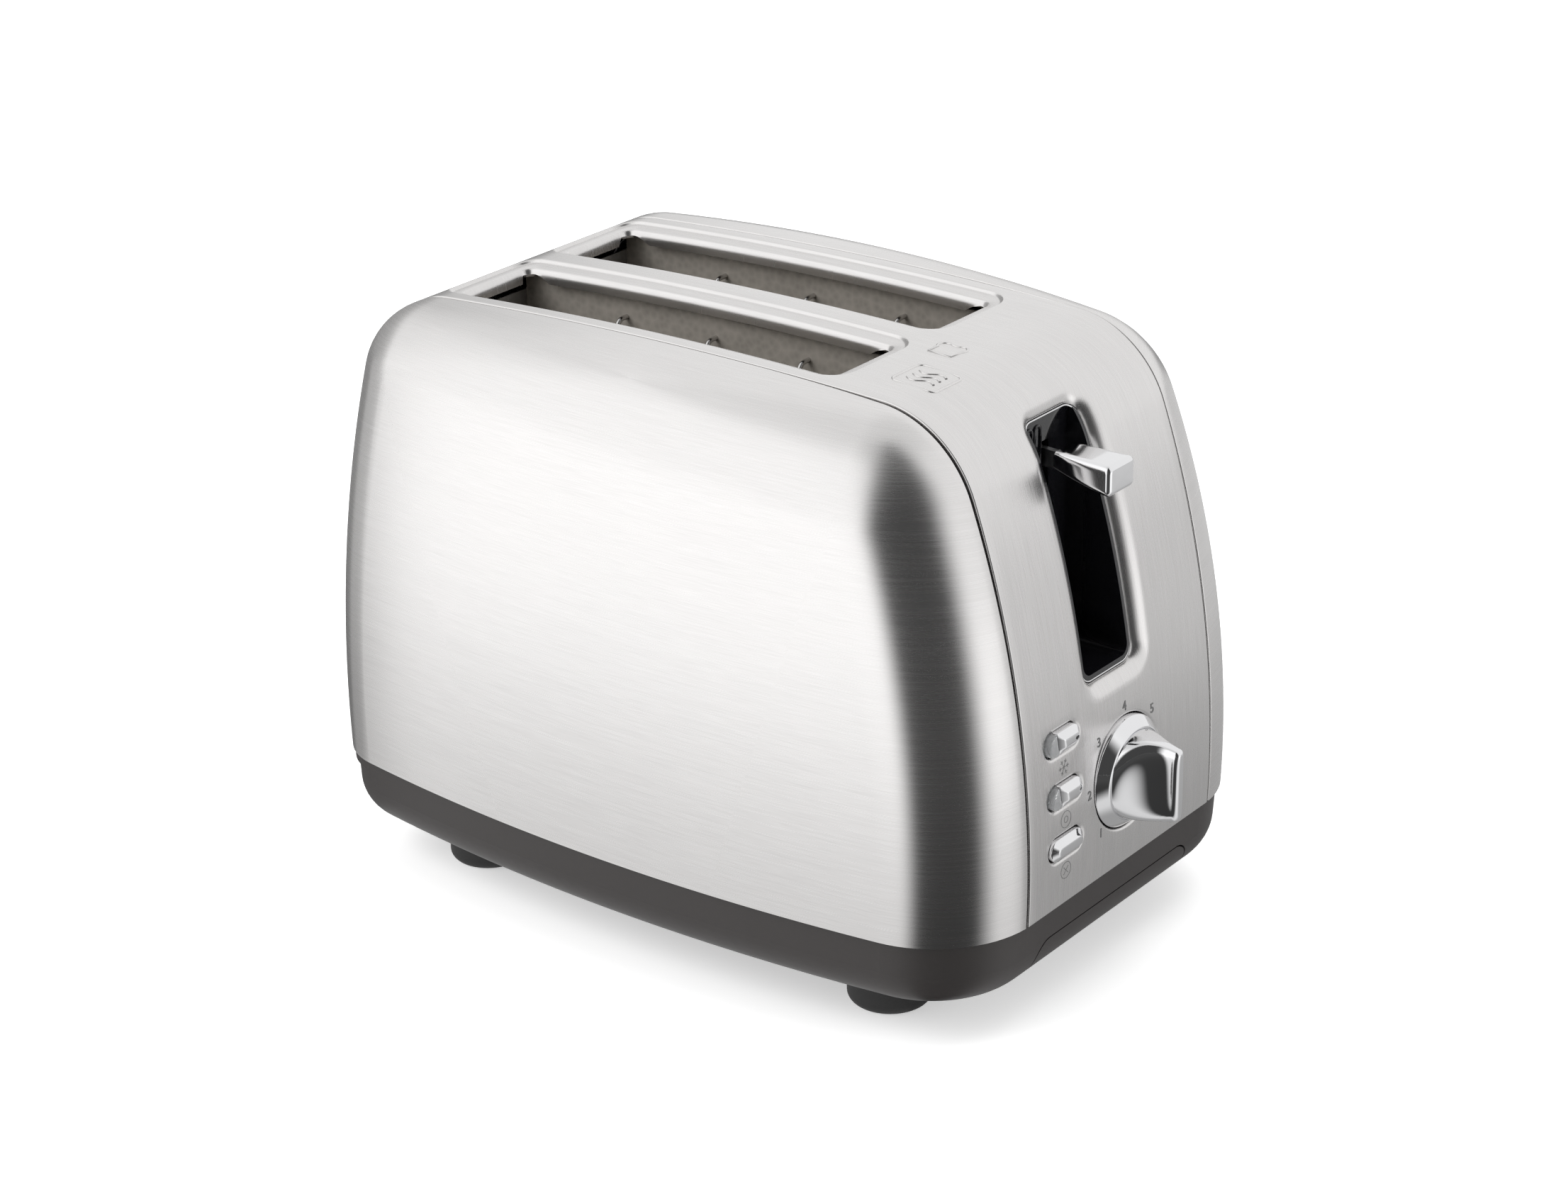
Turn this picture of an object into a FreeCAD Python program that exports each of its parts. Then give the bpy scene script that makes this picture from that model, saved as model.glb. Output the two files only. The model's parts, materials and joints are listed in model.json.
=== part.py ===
"""A two-slot pop-up toaster as separate pieces, in millimetres.

Inside this script x runs from the cord end (-) to the control end (+), y across the
slots and z up from the floor, with x = 0 at the middle of the steel body. The pieces
are written with the middle of the whole object's base at the origin.
"""
import FreeCAD, Part
import math
import os
from FreeCAD import Vector

# ---------------------------------------------------------------- steel body
body_length = 254.0
body_width = 180.0
body_height = 190.0          # top of the dome above the floor
body_widest = 50.0           # height at which ends and sides stand out furthest
shell_bottom = 36.5          # lower edge of the steel above the floor
dome_radius = 1500.0         # lengthways arc of the top
front_end_radius = 335.0     # arc of the control end, seen from the side
rear_end_radius = 520.0      # arc of the cord end, seen from the side
front_shoulder = 36.0        # between top and control end
rear_shoulder = 25.0         # between top and cord end
side_plan_radius = 680.0     # bulge of the sides, seen from above
side_rise_radius = 1000.0    # bulge of the sides, seen from the end
front_rounding = 35.0        # rolled edge of the side panels at the control end
rear_rounding = 23.0         # rolled edge at the cord end's shoulder
rear_foot_rounding = 27.0    # rolled edge at the cord end's lower corners
sheet = 0.7
seam_gap = 0.8               # between the centre band and a side panel
seam_flange = 5.0            # both edges of a seam are folded inwards this deep

# ---------------------------------------------------------------- bread slots
bridge_width = 7.6           # steel between the two slot rims
slot_rim_width = 41.9
rim_margin = 4.3             # from a slot rim to the edge of the band
control_room = 71.0          # from the control end to the slot rims
rear_room = 28.5             # from the cord end to the slot rims
rim_slope = 6.0              # width of the sloped rim
rim_drop = 2.6               # depth of the sloped rim
slot_flange = 8.0            # straight wall below the sloped rim
slot_corner = 3.0
slot_block = 40.0            # depth of the block cut for a slot before its floor is kept

# ---------------------------------------------------------------- controls
lever_drop = 29.5            # lever knob below the top of the dome, at rest
lever_slot_margin = 8.5      # from the lever knob's middle to the slot's end, pressed down
lever_slot_bottom = 98.0
lever_slot_top_drop = 12.0   # top of the lever slot below the top of the dome
lever_slot_width = 27.0
lever_lip = 6.0              # width of the pressed lip around the lever slot
lever_lip_drop = 3.0
lever_flange = 3.0
lever_corner = 5.0
lever_knob_width = 13.5
lever_knob_length = 19.0
lever_knob_height = 8.4
lever_knob_back = 23.0       # from the control end to the back of the lever knob
lever_knob_edge = 1.4
dial_height = 66.0
dial_side = 2.5
dial_radius = 17.5
dial_grip_radius = 15.5
dial_length = 18.5           # how far the dial stands out
dial_bar = 5.0               # thickness of the grip bar at its front
dial_bar_height = 23.4
dial_skirt = 1.3             # how far the dial's skirt stands out
button_side = -31.0
button_heights = (88.5, 72.0, 55.5)
button_length = 18.4
button_width = 9.0
button_reach = 2.2           # how far a button stands out
lens_share = 5.6             # length of the clear lens at the end of a button
lens_step = 0.5              # the lens stands out less than the button by this much
moving_gap = 0.4             # around the buttons and the dial
frame_gap = 0.1              # between the steel and the control frame
frame_wall = 2.5

# ---------------------------------------------------------------- base and feet
base_bottom = 13.0
base_inset = 1.5             # the steel overhangs the base by this much
base_wall = 2.4
base_rounding = 13.0
base_lip = 4.5               # upstand of the base inside the steel
foot_radius = 13.0
foot_inset_x = 47.0          # from the end to a foot's middle
foot_inset_y = 36.0          # from the side to a foot's middle
tray_width = 81.0
tray_top = 23.5
tray_front_top = 26.0
tray_front_margin = 1.5      # the tray's front is this much wider than the tray at each side
tray_corner = 7.0            # rounding of the front's upper corners
tray_sheet = 0.6
tray_gap = 0.4               # around the tray's front
tray_front_depth = 9.0       # from the control end to the back of the tray's front
gland_radius = 7.0
gland_height = 27.0
gland_reach = 2.5            # how far the grommet stands out of the cord end
gland_bore = 3.6             # radius of the hole for the mains lead
gland_rim = 1.8              # how far the grommet's outer rim overlaps the base
gland_length = 11.5

# ---------------------------------------------------------------- fastenings and fits
rest_gap = 0.3               # between fixed pieces that stand beside each other
screw_radius = 1.5           # screws up through the feet
screw_clearance = 0.2        # around a screw in its foot
thread_gap = 0.1             # around a screw in its post
screw_head_radius = 3.4
screw_head_height = 2.2
screw_slot = 0.8             # width of the cross in a screw head
screw_slot_length = 4.4
post_radius = 5.0            # posts in the base
foot_edge = 3.0              # rounding of a foot's lower edge
foot_well = 7.0              # depth of the screw's well in a foot
foot_well_radius = 4.0
board_post_radius = 3.0
board_screw_radius = 1.2
board_screw_head = 2.4       # radius
bulkhead_screw_head = 2.6    # radius
bulkhead_fold = 8.0          # width of a bulkhead's folded foot

# ---------------------------------------------------------------- inside
plate = 0.8                  # bulkheads and floor plate
floor_plate_bottom = 34.0
bulkhead_clear = 4.0         # from a slot opening to its bulkhead
bulkhead_half_width = 47.0
bulkhead_drop = 13.0         # top of the bulkheads below the top of the dome
reflector = 0.5
card = 1.0                   # mica heater cards
card_bottom = 44.0
card_drop = 22.0             # top of the cards below the top of the dome
outer_card_side = 44.5
inner_card_side = 5.5
ribbon = 0.25
ribbon_width = 1.4
ribbon_pitch = 10.0
guide_wire = 0.8             # radius of the upright wires
guide_rail = 1.0             # radius of the lengthways wires
outer_guide_side = 38.5
inner_guide_side = 11.0
guide_travel = 4.5
guide_low_rail = 60.0
hook_bend = 3.0              # the upper ends of the upright wires turn away from the bread
guide_hook_pitch = 35.5
guide_hook_room = 37.5       # from the rear end of the slots to the first hook
carrier_down = 50.0          # top of the bread carriers, pressed down
carrier_strip = 1.2
carrier_depth = 8.0
tine_count = 7
tine_length = 15.0
carriage_plate = 1.5
rod_room = 12.0              # from the front bulkhead to the rods' axes
carriage_step = 4.5          # from the rods' axes to the carriage plate
rod_side = 14.0
rod_radius = 2.5
running_gap = 0.05           # of the carriage on its rods and of the dial's shaft
sleeve_wall = 2.2
spring_radius = 3.4
arm_thickness = 2.0          # lever arm
magnet_step = 18.0           # from the rods' axes to the magnet's axis
magnet_side = -20.0
magnet_top = 57.7
magnet_foot = 1.5            # thickness of the magnet's foot plate
pole_radius = 4.0
bobbin_wall = 0.8
bobbin_radius = 9.0
coil_radius = 8.0
board_room = 21.0            # from the control end to the back of the board
board = 1.6
board_bottom = 40.0
board_top = 94.0
board_half_width = 44.0
contact_block = 8.0
terminal_half = 4.5          # half the width of the terminal block
terminal_sides = (-8.0, 0.0, 8.0)
terminal_screw_radius = 2.1
shaft_radius = 3.0           # of the browning dial
pot_radius = 8.0
lamp_radius = 1.5

# ---------------------------------------------------------------- worked out
half_length = body_length / 2
half_width = body_width / 2
band_half = bridge_width / 2 + slot_rim_width + rim_margin
rim_front = half_length - control_room
rim_rear = -half_length + rear_room
open_front = rim_front - rim_slope
open_rear = rim_rear + rim_slope
open_inner = bridge_width / 2 + rim_slope
open_outer = bridge_width / 2 + slot_rim_width - rim_slope
slot_middle = (open_inner + open_outer) / 2
bulkhead_front = open_front + bulkhead_clear
bulkhead_rear = open_rear - bulkhead_clear
guide_hook_first = open_rear + guide_hook_room
rod_x = bulkhead_front + rod_room
carriage_x = rod_x + carriage_step
magnet_x = rod_x + magnet_step
contact_x = magnet_x         # the heaters' switch stands beside the magnet
board_x = half_length - board_room
bulkhead_top = body_height - bulkhead_drop
floor_top = floor_plate_bottom + plate
card_top = body_height - card_drop
lever_height = body_height - lever_drop
lever_travel = lever_height - lever_slot_margin - lever_slot_bottom
lever_slot_top = body_height - lever_slot_top_drop
carrier_rest = carrier_down + lever_travel
foot_x = half_length - foot_inset_x
foot_y = half_width - foot_inset_y
base_floor = base_bottom + base_wall
dial_front = half_length + dial_length - 0.5
gland_out = half_length + gland_reach
origin_x = (dial_front - gland_out) / 2
beyond = 2 * body_length     # longer than any piece
bracket_top = bulkhead_top - 3.0
button_front = 1.2           # rounding of a button's front edge
button_back = half_length - 9.0
button_clear = half_length + 8.0
switch_side = button_side + 2.5


# ---------------------------------------------------------------- helpers
def box(x0, x1, y0, y1, z0, z1):
    return Part.makeBox(x1 - x0, y1 - y0, z1 - z0, Vector(x0, y0, z0))


def rod(start, end, radius):
    way = end - start
    return Part.makeCylinder(radius, way.Length, start, way)


def rounded_box(x0, x1, y0, y1, z0, z1, radius, axis):
    """A box with the four edges along one axis rounded."""
    block = box(x0, x1, y0, y1, z0, z1)
    edges = []
    for edge in block.Edges:
        along = abs(edge.tangentAt(edge.FirstParameter).dot(axis))
        if abs(along - 1) < 1e-6:
            edges.append(edge)
    return block.makeFillet(radius, edges)


def group(shapes):
    return Part.makeCompound(shapes)


def mirrored(shape):
    return shape.mirror(Vector(0, 0, 0), Vector(0, 1, 0))


X = Vector(1, 0, 0)
Y = Vector(0, 1, 0)
Z = Vector(0, 0, 1)


# ---------------------------------------------------------------- body form
def polar(centre, radius, angle):
    return Vector(centre[0] + radius * math.cos(angle), 0, centre[1] + radius * math.sin(angle))


def shoulder_centre(shoulder, end_radius, end_centre, top_centre):
    """Centre of the arc that touches both the dome and the end arc from inside."""
    r_end = end_radius - shoulder
    r_top = dome_radius - shoulder
    dx = top_centre[0] - end_centre[0]
    dz = top_centre[1] - end_centre[1]
    gap = math.hypot(dx, dz)
    along = (r_end ** 2 - r_top ** 2 + gap ** 2) / (2 * gap)
    off = math.sqrt(r_end ** 2 - along ** 2)
    return (end_centre[0] + (along * dx - off * dz) / gap, end_centre[1] + (along * dz + off * dx) / gap)


def end_points(shoulder, end_radius, offset, bottom):
    """Points from the dome down one end: start, middle and end of its two arcs."""
    end_centre = (half_length - end_radius, body_widest)
    top_centre = (0.0, body_height - dome_radius)
    corner = shoulder_centre(shoulder, end_radius, end_centre, top_centre)
    a_top = math.atan2(corner[1] - top_centre[1], corner[0] - top_centre[0])
    a_end = math.atan2(corner[1] - end_centre[1], corner[0] - end_centre[0])
    a_low = math.asin((bottom - body_widest) / (end_radius - offset))
    return [
        polar(corner, shoulder - offset, a_top),
        polar(corner, shoulder - offset, (a_top + a_end) / 2),
        polar(corner, shoulder - offset, a_end),
        polar(end_centre, end_radius - offset, (a_end + a_low) / 2),
        polar(end_centre, end_radius - offset, a_low),
    ]


def side_view(offset, bottom):
    """Outline of the body seen from the side, offset inwards."""
    front = end_points(front_shoulder, front_end_radius, offset, bottom)
    rear = [Vector(-p.x, 0, p.z) for p in end_points(rear_shoulder, rear_end_radius, offset, bottom)]
    crown = Vector(0, 0, body_height - offset)
    edges = [
        Part.Arc(rear[0], crown, front[0]),
        Part.Arc(front[0], front[1], front[2]),
        Part.Arc(front[2], front[3], front[4]),
        Part.LineSegment(front[4], rear[4]),
        Part.Arc(rear[4], rear[3], rear[2]),
        Part.Arc(rear[2], rear[1], rear[0]),
    ]
    return Part.Face(Part.Wire([e.toShape() for e in edges]))


def side_barrel(offset, bottom):
    """Solid whose outside is the bulged +y side of the body."""
    rise = side_rise_radius - offset
    reach = side_plan_radius - offset
    top = body_height + 20.0
    levels = (bottom, (bottom + top) / 2, top)
    side = [Vector(0, reach - rise + math.sqrt(rise ** 2 - (z - body_widest) ** 2), z) for z in levels]
    axis_low = Vector(0, 0, bottom)
    axis_high = Vector(0, 0, top)
    wire = Part.Wire([
        Part.makeLine(axis_low, side[0]),
        Part.Arc(*side).toShape(),
        Part.makeLine(side[2], axis_high),
        Part.makeLine(axis_high, axis_low),
    ])
    barrel = Part.Face(wire).revolve(Vector(0, 0, 0), Z, 360)
    barrel.rotate(Vector(0, 0, 0), Z, 180)
    barrel.translate(Vector(0, half_width - side_plan_radius, 0))
    return barrel


def is_rolled_edge(edge, bottom):
    extent = edge.BoundBox
    flat = extent.ZMax < bottom + 0.5
    across = extent.YMin < 0 < extent.YMax
    return not flat and not across


def rounding_at(point, bottom):
    if point.x > 0:
        return front_rounding
    if point.z < bottom + 1.0:
        return rear_foot_rounding
    return rear_rounding


def roll_edges(form, offset, bottom):
    """Rounds the edge between the long sides and the rest by a radius that varies along it."""
    doc = FreeCAD.newDocument("rolling")
    source = doc.addObject("Part::Feature", "source")
    source.Shape = form
    rolled = doc.addObject("Part::Fillet", "rolled")
    rolled.Base = source
    radii = []
    for index, edge in enumerate(source.Shape.Edges, 1):
        if is_rolled_edge(edge, bottom):
            start = rounding_at(edge.valueAt(edge.FirstParameter), bottom) - offset
            end = rounding_at(edge.valueAt(edge.LastParameter), bottom) - offset
            radii.append((index, start, end))
    rolled.Edges = radii
    doc.recompute()
    result = rolled.Shape.copy()
    FreeCAD.closeDocument(doc.Name)
    return result


def body_solid(offset, bottom=shell_bottom):
    """The whole outer form, offset inwards and closed at the bottom."""
    face = side_view(offset, bottom)
    face.translate(Vector(0, -body_width, 0))
    form = face.extrude(Vector(0, 2 * body_width, 0))
    barrel = side_barrel(offset, bottom)
    form = form.common(barrel).common(mirrored(barrel))
    return roll_edges(form, offset, bottom)


def end_x(z, offset=0.0):
    """x of the control end's surface at a height below the shoulder."""
    radius = front_end_radius - offset
    return half_length - front_end_radius + math.sqrt(radius ** 2 - (z - body_widest) ** 2)


def slab(y0, y1):
    return box(-beyond, beyond, y0, y1, -beyond, beyond)


def layer(z0, z1):
    return box(-beyond, beyond, -beyond, beyond, z0, z1)


# ---------------------------------------------------------------- steel skin
def slot_openings(grow):
    """Straight prisms of the two bread slots."""
    prisms = []
    for side in (1, -1):
        y0, y1 = sorted((side * (open_inner - grow), side * (open_outer + grow)))
        prism = rounded_box(open_rear - grow, open_front + grow, y0, y1,
                            body_height - slot_block, body_height + slot_block, slot_corner + grow, Z)
        prisms.append(prism)
    return prisms


def lever_opening(grow, x0, x1):
    half = lever_slot_width / 2 + grow
    return rounded_box(x0, x1, -half, half, lever_slot_bottom - grow, lever_slot_top + grow,
                       lever_corner + grow, X)


def dished(form, offset, slot_floor, lever_floor):
    """The form with sloped rims around the bread slots and the lever slot."""
    pocketed = form
    for prism in slot_openings(offset):
        pocketed = pocketed.cut(prism.cut(slot_floor))
    window = box(open_rear - 5.0, open_front + 5.0, -open_outer - 3.0, open_outer + 3.0,
                 body_height - 30.0, body_height + 5.0)
    rims = [e for e in pocketed.Edges if inside(e, window)]
    pocketed = pocketed.makeChamfer(rim_slope, rim_drop, on_surface(rims, form))
    pocketed = pocketed.cut(lever_opening(offset, half_length / 2, beyond).cut(lever_floor))
    half = lever_slot_width / 2 + 3.0
    low = lever_slot_bottom - 3.0
    window = box(half_length / 2, beyond, -half, half, low, lever_slot_top + 3.0)
    rims = [e for e in pocketed.Edges if inside(e, window)]
    return pocketed.makeChamfer(lever_lip, lever_lip_drop, on_surface(rims, form))


def inside(edge, window):
    a = edge.BoundBox
    b = window.BoundBox
    return (a.XMin > b.XMin and a.XMax < b.XMax and a.YMin > b.YMin
            and a.YMax < b.YMax and a.ZMin > b.ZMin and a.ZMax < b.ZMax)


def on_surface(edges, form):
    shell = form.Shells[0]
    found = []
    for edge in edges:
        middle = edge.valueAt((edge.FirstParameter + edge.LastParameter) / 2)
        if shell.distToShape(Part.Vertex(middle))[0] < 0.01:
            found.append(edge)
    return found


def seam_strip(skin, deep, y0, y1):
    """Folded flange: a strip of the space between the skin and a deeper offset."""
    return skin.cut(deep).common(slab(y0, y1))


def dial_opening(grow, x0, x1):
    return rod(Vector(x0, dial_side, dial_height), Vector(x1, dial_side, dial_height), dial_radius + grow)


def button_prism(height, grow, x0, x1):
    half_long = button_length / 2 + grow
    half_wide = button_width / 2 + grow
    return rounded_box(x0, x1, button_side - half_long, button_side + half_long,
                       height - half_wide, height + half_wide, half_wide - 0.05, X)


def lens_side(height, grow, x0, x1):
    """The part of a button's outline that the clear lens takes."""
    pill = button_prism(height, 0.0, x0, x1)
    edge = button_side - button_length / 2 + lens_share
    return pill.common(slab(-half_width, edge + grow))


def steel_skin():
    """Centre band and the two side panels, cut from one pressed form."""
    outer = body_solid(0.0)
    inner = body_solid(sheet)
    slot_floor = body_solid(rim_drop + slot_flange)
    lever_floor = body_solid(lever_lip_drop + lever_flange)
    pressed = dished(outer, 0.0, slot_floor, lever_floor)
    pressed = pressed.cut(dished(inner, sheet, slot_floor, lever_floor))
    band = pressed.common(slab(-band_half, band_half))
    band = band.cut(dial_opening(moving_gap, half_length / 2, beyond))
    for height in button_heights:
        band = band.cut(button_prism(height, moving_gap, half_length / 2, beyond))
    deep = body_solid(seam_flange)
    inner_face = band_half - sheet
    band = band.fuse(seam_strip(inner, deep, inner_face, band_half))
    band = band.fuse(seam_strip(inner, deep, -band_half, -inner_face)).removeSplitter()
    edge = band_half + seam_gap
    panel = outer.cut(inner).common(slab(edge, body_width))
    panel = panel.fuse(seam_strip(inner, deep, edge, edge + sheet)).removeSplitter()
    return band, mirrored(panel), panel


# ---------------------------------------------------------------- base
def base_form(offset):
    """Outer form of the base, offset inwards, with its rounded lower edge."""
    bottom = base_bottom + offset
    form = body_solid(base_inset + offset, bottom)
    form = form.common(layer(bottom, shell_bottom - rest_gap))
    edges = [e for e in form.Edges if e.BoundBox.ZMax < bottom + 0.01]
    return form.makeFillet(base_rounding - offset, edges)


def tray_front_prism(grow, x0):
    half = tray_width / 2 + tray_front_margin + grow
    return rounded_box(x0 - grow, beyond, -half, half, -20.0, tray_front_top + grow, tray_corner, X)


def foot_places():
    return [(sx * foot_x, sy * foot_y) for sx in (1, -1) for sy in (1, -1)]


def base_lip_ring():
    """Upstand of the base inside the steel, broken where the seams' flanges come down."""
    low = shell_bottom - 4.0
    ring = body_solid(sheet + rest_gap, low).cut(body_solid(base_inset + base_wall, low))
    ring = ring.common(layer(low, shell_bottom + base_lip))
    ring = ring.common(body_solid(base_inset, low).fuse(layer(shell_bottom, body_height)))
    room = sheet + 0.5
    for side in (1, -1):
        y0, y1 = sorted((side * (band_half - room), side * (band_half + seam_gap + room)))
        ring = ring.cut(box(-beyond, beyond, y0, y1, shell_bottom - rest_gap, body_height))
    return ring


def base_shell():
    """Plastic base with four posts, the crumb tray's doorway and the cord inlet."""
    form = base_form(0.0).cut(base_form(base_wall))
    curve_top = base_bottom + base_rounding
    form = form.cut(body_solid(base_inset + base_wall, curve_top).common(layer(curve_top, body_height)))
    form = form.fuse(base_lip_ring())
    for x, y in foot_places():
        low = Vector(x, y, base_floor - 0.2)
        form = form.fuse(rod(low, Vector(x, y, floor_plate_bottom), post_radius))
    for x, y in foot_places():
        top = floor_plate_bottom + 1.0
        form = form.cut(rod(Vector(x, y, 0.0), Vector(x, y, top), screw_radius + thread_gap))
    doorway = tray_front_prism(tray_gap, half_length - tray_front_depth)
    form = form.cut(doorway.common(layer(-20.0, shell_bottom)))
    half = tray_width / 2 + tray_gap
    form = form.cut(box(half_length / 2, half_length - tray_front_depth, -half, half,
                        base_floor, tray_top + tray_gap))
    outside = Vector(-beyond, 0, gland_height)
    form = form.cut(rod(outside, Vector(-half_length / 2, 0, gland_height), gland_radius))
    return form.removeSplitter()


def feet():
    """Four round feet with a rounded edge and a well for the screw."""
    shapes = []
    for x, y in foot_places():
        pad = rod(Vector(x, y, 0), Vector(x, y, base_bottom), foot_radius)
        low = [e for e in pad.Edges if e.BoundBox.ZMax < 0.01]
        pad = pad.makeFillet(foot_edge, low)
        pad = pad.cut(rod(Vector(x, y, -1), Vector(x, y, foot_well), foot_well_radius))
        hole = rod(Vector(x, y, -1), Vector(x, y, base_bottom + 1), screw_radius + screw_clearance)
        shapes.append(pad.cut(hole))
    return group(shapes)


def base_screws():
    """Screws up through the feet and the base's posts."""
    half = screw_slot / 2
    reach = screw_slot_length / 2
    low = foot_well - screw_head_height
    shapes = []
    for x, y in foot_places():
        head = rod(Vector(x, y, low), Vector(x, y, foot_well), screw_head_radius)
        head = head.cut(box(x - half, x + half, y - reach, y + reach, low - 1.0, low + 1.0))
        head = head.cut(box(x - reach, x + reach, y - half, y + half, low - 1.0, low + 1.0))
        shank = rod(Vector(x, y, foot_well - 0.1), Vector(x, y, floor_plate_bottom - 1.0), screw_radius)
        shapes.append(head.fuse(shank))
    return group(shapes)


def tray_front():
    return base_form(0.0).common(tray_front_prism(0.0, half_length - tray_front_depth))


def tray_pan():
    """Steel tray that catches the crumbs."""
    x0 = bulkhead_rear - 6.0
    x1 = half_length - tray_front_depth
    half = tray_width / 2
    low = base_floor + rest_gap
    pan = box(x0, x1, -half, half, low, tray_top)
    inner = half - tray_sheet
    return pan.cut(box(x0 + tray_sheet, x1 - tray_sheet, -inner, inner, low + tray_sheet, tray_top + 1.0))


def cord_gland():
    """Grommet of the cord inlet, low in the rear wall of the base."""
    x_out = -gland_out
    x_in = x_out + gland_length
    centre = lambda x: Vector(x, 0, gland_height)
    gland = rod(centre(x_out), centre(x_in), gland_radius - thread_gap)
    gland = gland.fuse(rod(centre(x_out), centre(x_out + 2.0), gland_radius + gland_rim))
    gland = gland.fuse(rod(centre(x_in - 2.0), centre(x_in), gland_radius + gland_rim - rest_gap))
    return gland.cut(rod(centre(x_out - 5.0), centre(x_in + 5.0), gland_bore))


# ---------------------------------------------------------------- chassis
def chambers():
    """The two bread chambers as (inner y, outer y) pairs, one for each side."""
    return [(side * open_inner, side * open_outer) for side in (1, -1)]


def floor_plate():
    """Steel plate on the base's posts, open under both bread chambers."""
    x0 = terminal_middle() - terminal_half - 2.0
    x1 = magnet_x + 12.0
    half = foot_y + 7.0
    shape = rounded_box(x0, x1, -half, half, floor_plate_bottom, floor_top, 6.0, Z)
    span = (open_front - open_rear) / 3
    for y0, y1 in chambers():
        low, high = sorted((y0, y1))
        for part in range(3):
            start = open_rear + part * span
            shape = shape.cut(box(start + 3.0, start + span - 3.0, low, high, 0.0, floor_top + 1.0))
    return shape


def guide_sides():
    """(name, rest y of the upright wires, direction the guide moves when the lever goes down)"""
    return [
        ("outer_right", outer_guide_side, -1),
        ("inner_right", inner_guide_side, 1),
        ("inner_left", -inner_guide_side, -1),
        ("outer_left", -outer_guide_side, 1),
    ]


def guide_high_rail():
    return card_top - 14.0


def rail_side(side, way):
    """y of the lengthways rails, behind the upright wires."""
    return side - way * (guide_wire + guide_rail - 0.2)


def guide_windows(x0, x1):
    """Slots in a bulkhead for the ends of the guide rails."""
    shapes = []
    reach = guide_rail + 0.4
    for _, side, way in guide_sides():
        start = rail_side(side, way)
        y0, y1 = sorted((start - way * reach, start + way * (guide_travel + reach)))
        for z in (guide_low_rail, guide_high_rail()):
            shapes.append(box(x0, x1, y0, y1, z - reach, z + reach))
    return shapes


def bulkhead(x0, direction):
    """Steel wall across one end of the bread chambers, with folded top and bottom edges."""
    half = bulkhead_half_width
    x1 = x0 + direction * plate
    low, high = sorted((x0, x1))
    shape = box(low, high, -half, half, floor_top, bulkhead_top)
    fold0, fold1 = sorted((x0, x0 + direction * bulkhead_fold))
    shape = shape.fuse(box(fold0, fold1, -half, half, floor_top, floor_top + plate))
    for window in guide_windows(low - 1.0, high + 1.0):
        shape = shape.cut(window)
    return shape


def front_bulkhead():
    """The wall at the control end, with an upright slot for each bread carrier."""
    shape = bulkhead(bulkhead_front, 1)
    low = carrier_down - carrier_depth - 2.0
    high = carrier_rest + 4.0
    for side in (1, -1):
        y = side * slot_middle
        x1 = bulkhead_front + plate + 1.0
        shape = shape.cut(box(bulkhead_front - 1.0, x1, y - 2.0, y + 2.0, low, high))
    return shape


def rear_bulkhead():
    return bulkhead(bulkhead_rear, -1)


def outer_reflector(side):
    y0, y1 = sorted((side * bulkhead_half_width, side * (bulkhead_half_width + reflector)))
    return box(bulkhead_rear - plate, bulkhead_front + plate, y0, y1, floor_top, card_top + 3.0)


def centre_reflector():
    return box(bulkhead_rear, bulkhead_front, -reflector / 2, reflector / 2, floor_top, card_top)


def bulkhead_screws():
    """Screws through the folded feet of both bulkheads into the floor plate."""
    shapes = []
    for x in (bulkhead_front + 5.0, bulkhead_rear - 5.0):
        for y in (38.0, 8.0, -8.0, -38.0):
            top = floor_top + plate
            shapes.append(rod(Vector(x, y, top), Vector(x, y, top + 1.8), bulkhead_screw_head))
    return group(shapes)


# ---------------------------------------------------------------- heaters
def card_sides():
    return [
        ("outer_right", outer_card_side),
        ("inner_right", inner_card_side),
        ("inner_left", -inner_card_side),
        ("outer_left", -outer_card_side),
    ]


def ribbon_turns(side):
    """Flat heating ribbon: closed turns around a card, through notches near its ends."""
    shapes = []
    half = card / 2
    x0 = bulkhead_rear + 4.0
    x1 = bulkhead_front - 4.0
    count = int((card_top - card_bottom - 2 * ribbon_pitch) / ribbon_pitch) + 1
    for turn in range(count):
        z = card_bottom + ribbon_pitch * (turn + 1)
        z0 = z - ribbon_width / 2
        z1 = z + ribbon_width / 2
        loop = box(x0, x1, side - half - ribbon, side + half + ribbon, z0, z1)
        core = box(x0 + ribbon, x1 - ribbon, side - half, side + half, z0, z1)
        shapes.append(loop.cut(core))
    return group(shapes)


def heater_card(side):
    half = card / 2
    shape = box(bulkhead_rear, bulkhead_front, side - half, side + half, card_bottom, card_top)
    for x in (bulkhead_rear + 25.0, bulkhead_front - 25.0):
        shape = shape.fuse(box(x - 6.0, x + 6.0, side - half, side + half, floor_top, card_bottom))
    return shape.cut(ribbon_turns(side))


# ---------------------------------------------------------------- bread guides and carriers
def hook(x, side, way, top):
    """The upper end of an upright wire, bent away from the bread."""
    bend = hook_bend
    back = -way
    start = Vector(x, side, top - bend)
    lean = bend * math.cos(math.pi / 4)
    middle = Vector(x, side + back * (bend - lean), top - bend + lean)
    turned = Vector(x, side + back * bend, top)
    tip = Vector(x, side + back * (bend + 2.5), top)
    path = Part.Wire([Part.Arc(start, middle, turned).toShape(), Part.makeLine(turned, tip)])
    section = Part.Wire([Part.makeCircle(guide_wire, start, Z)])
    return path.makePipeShell([section], True, False)


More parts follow.
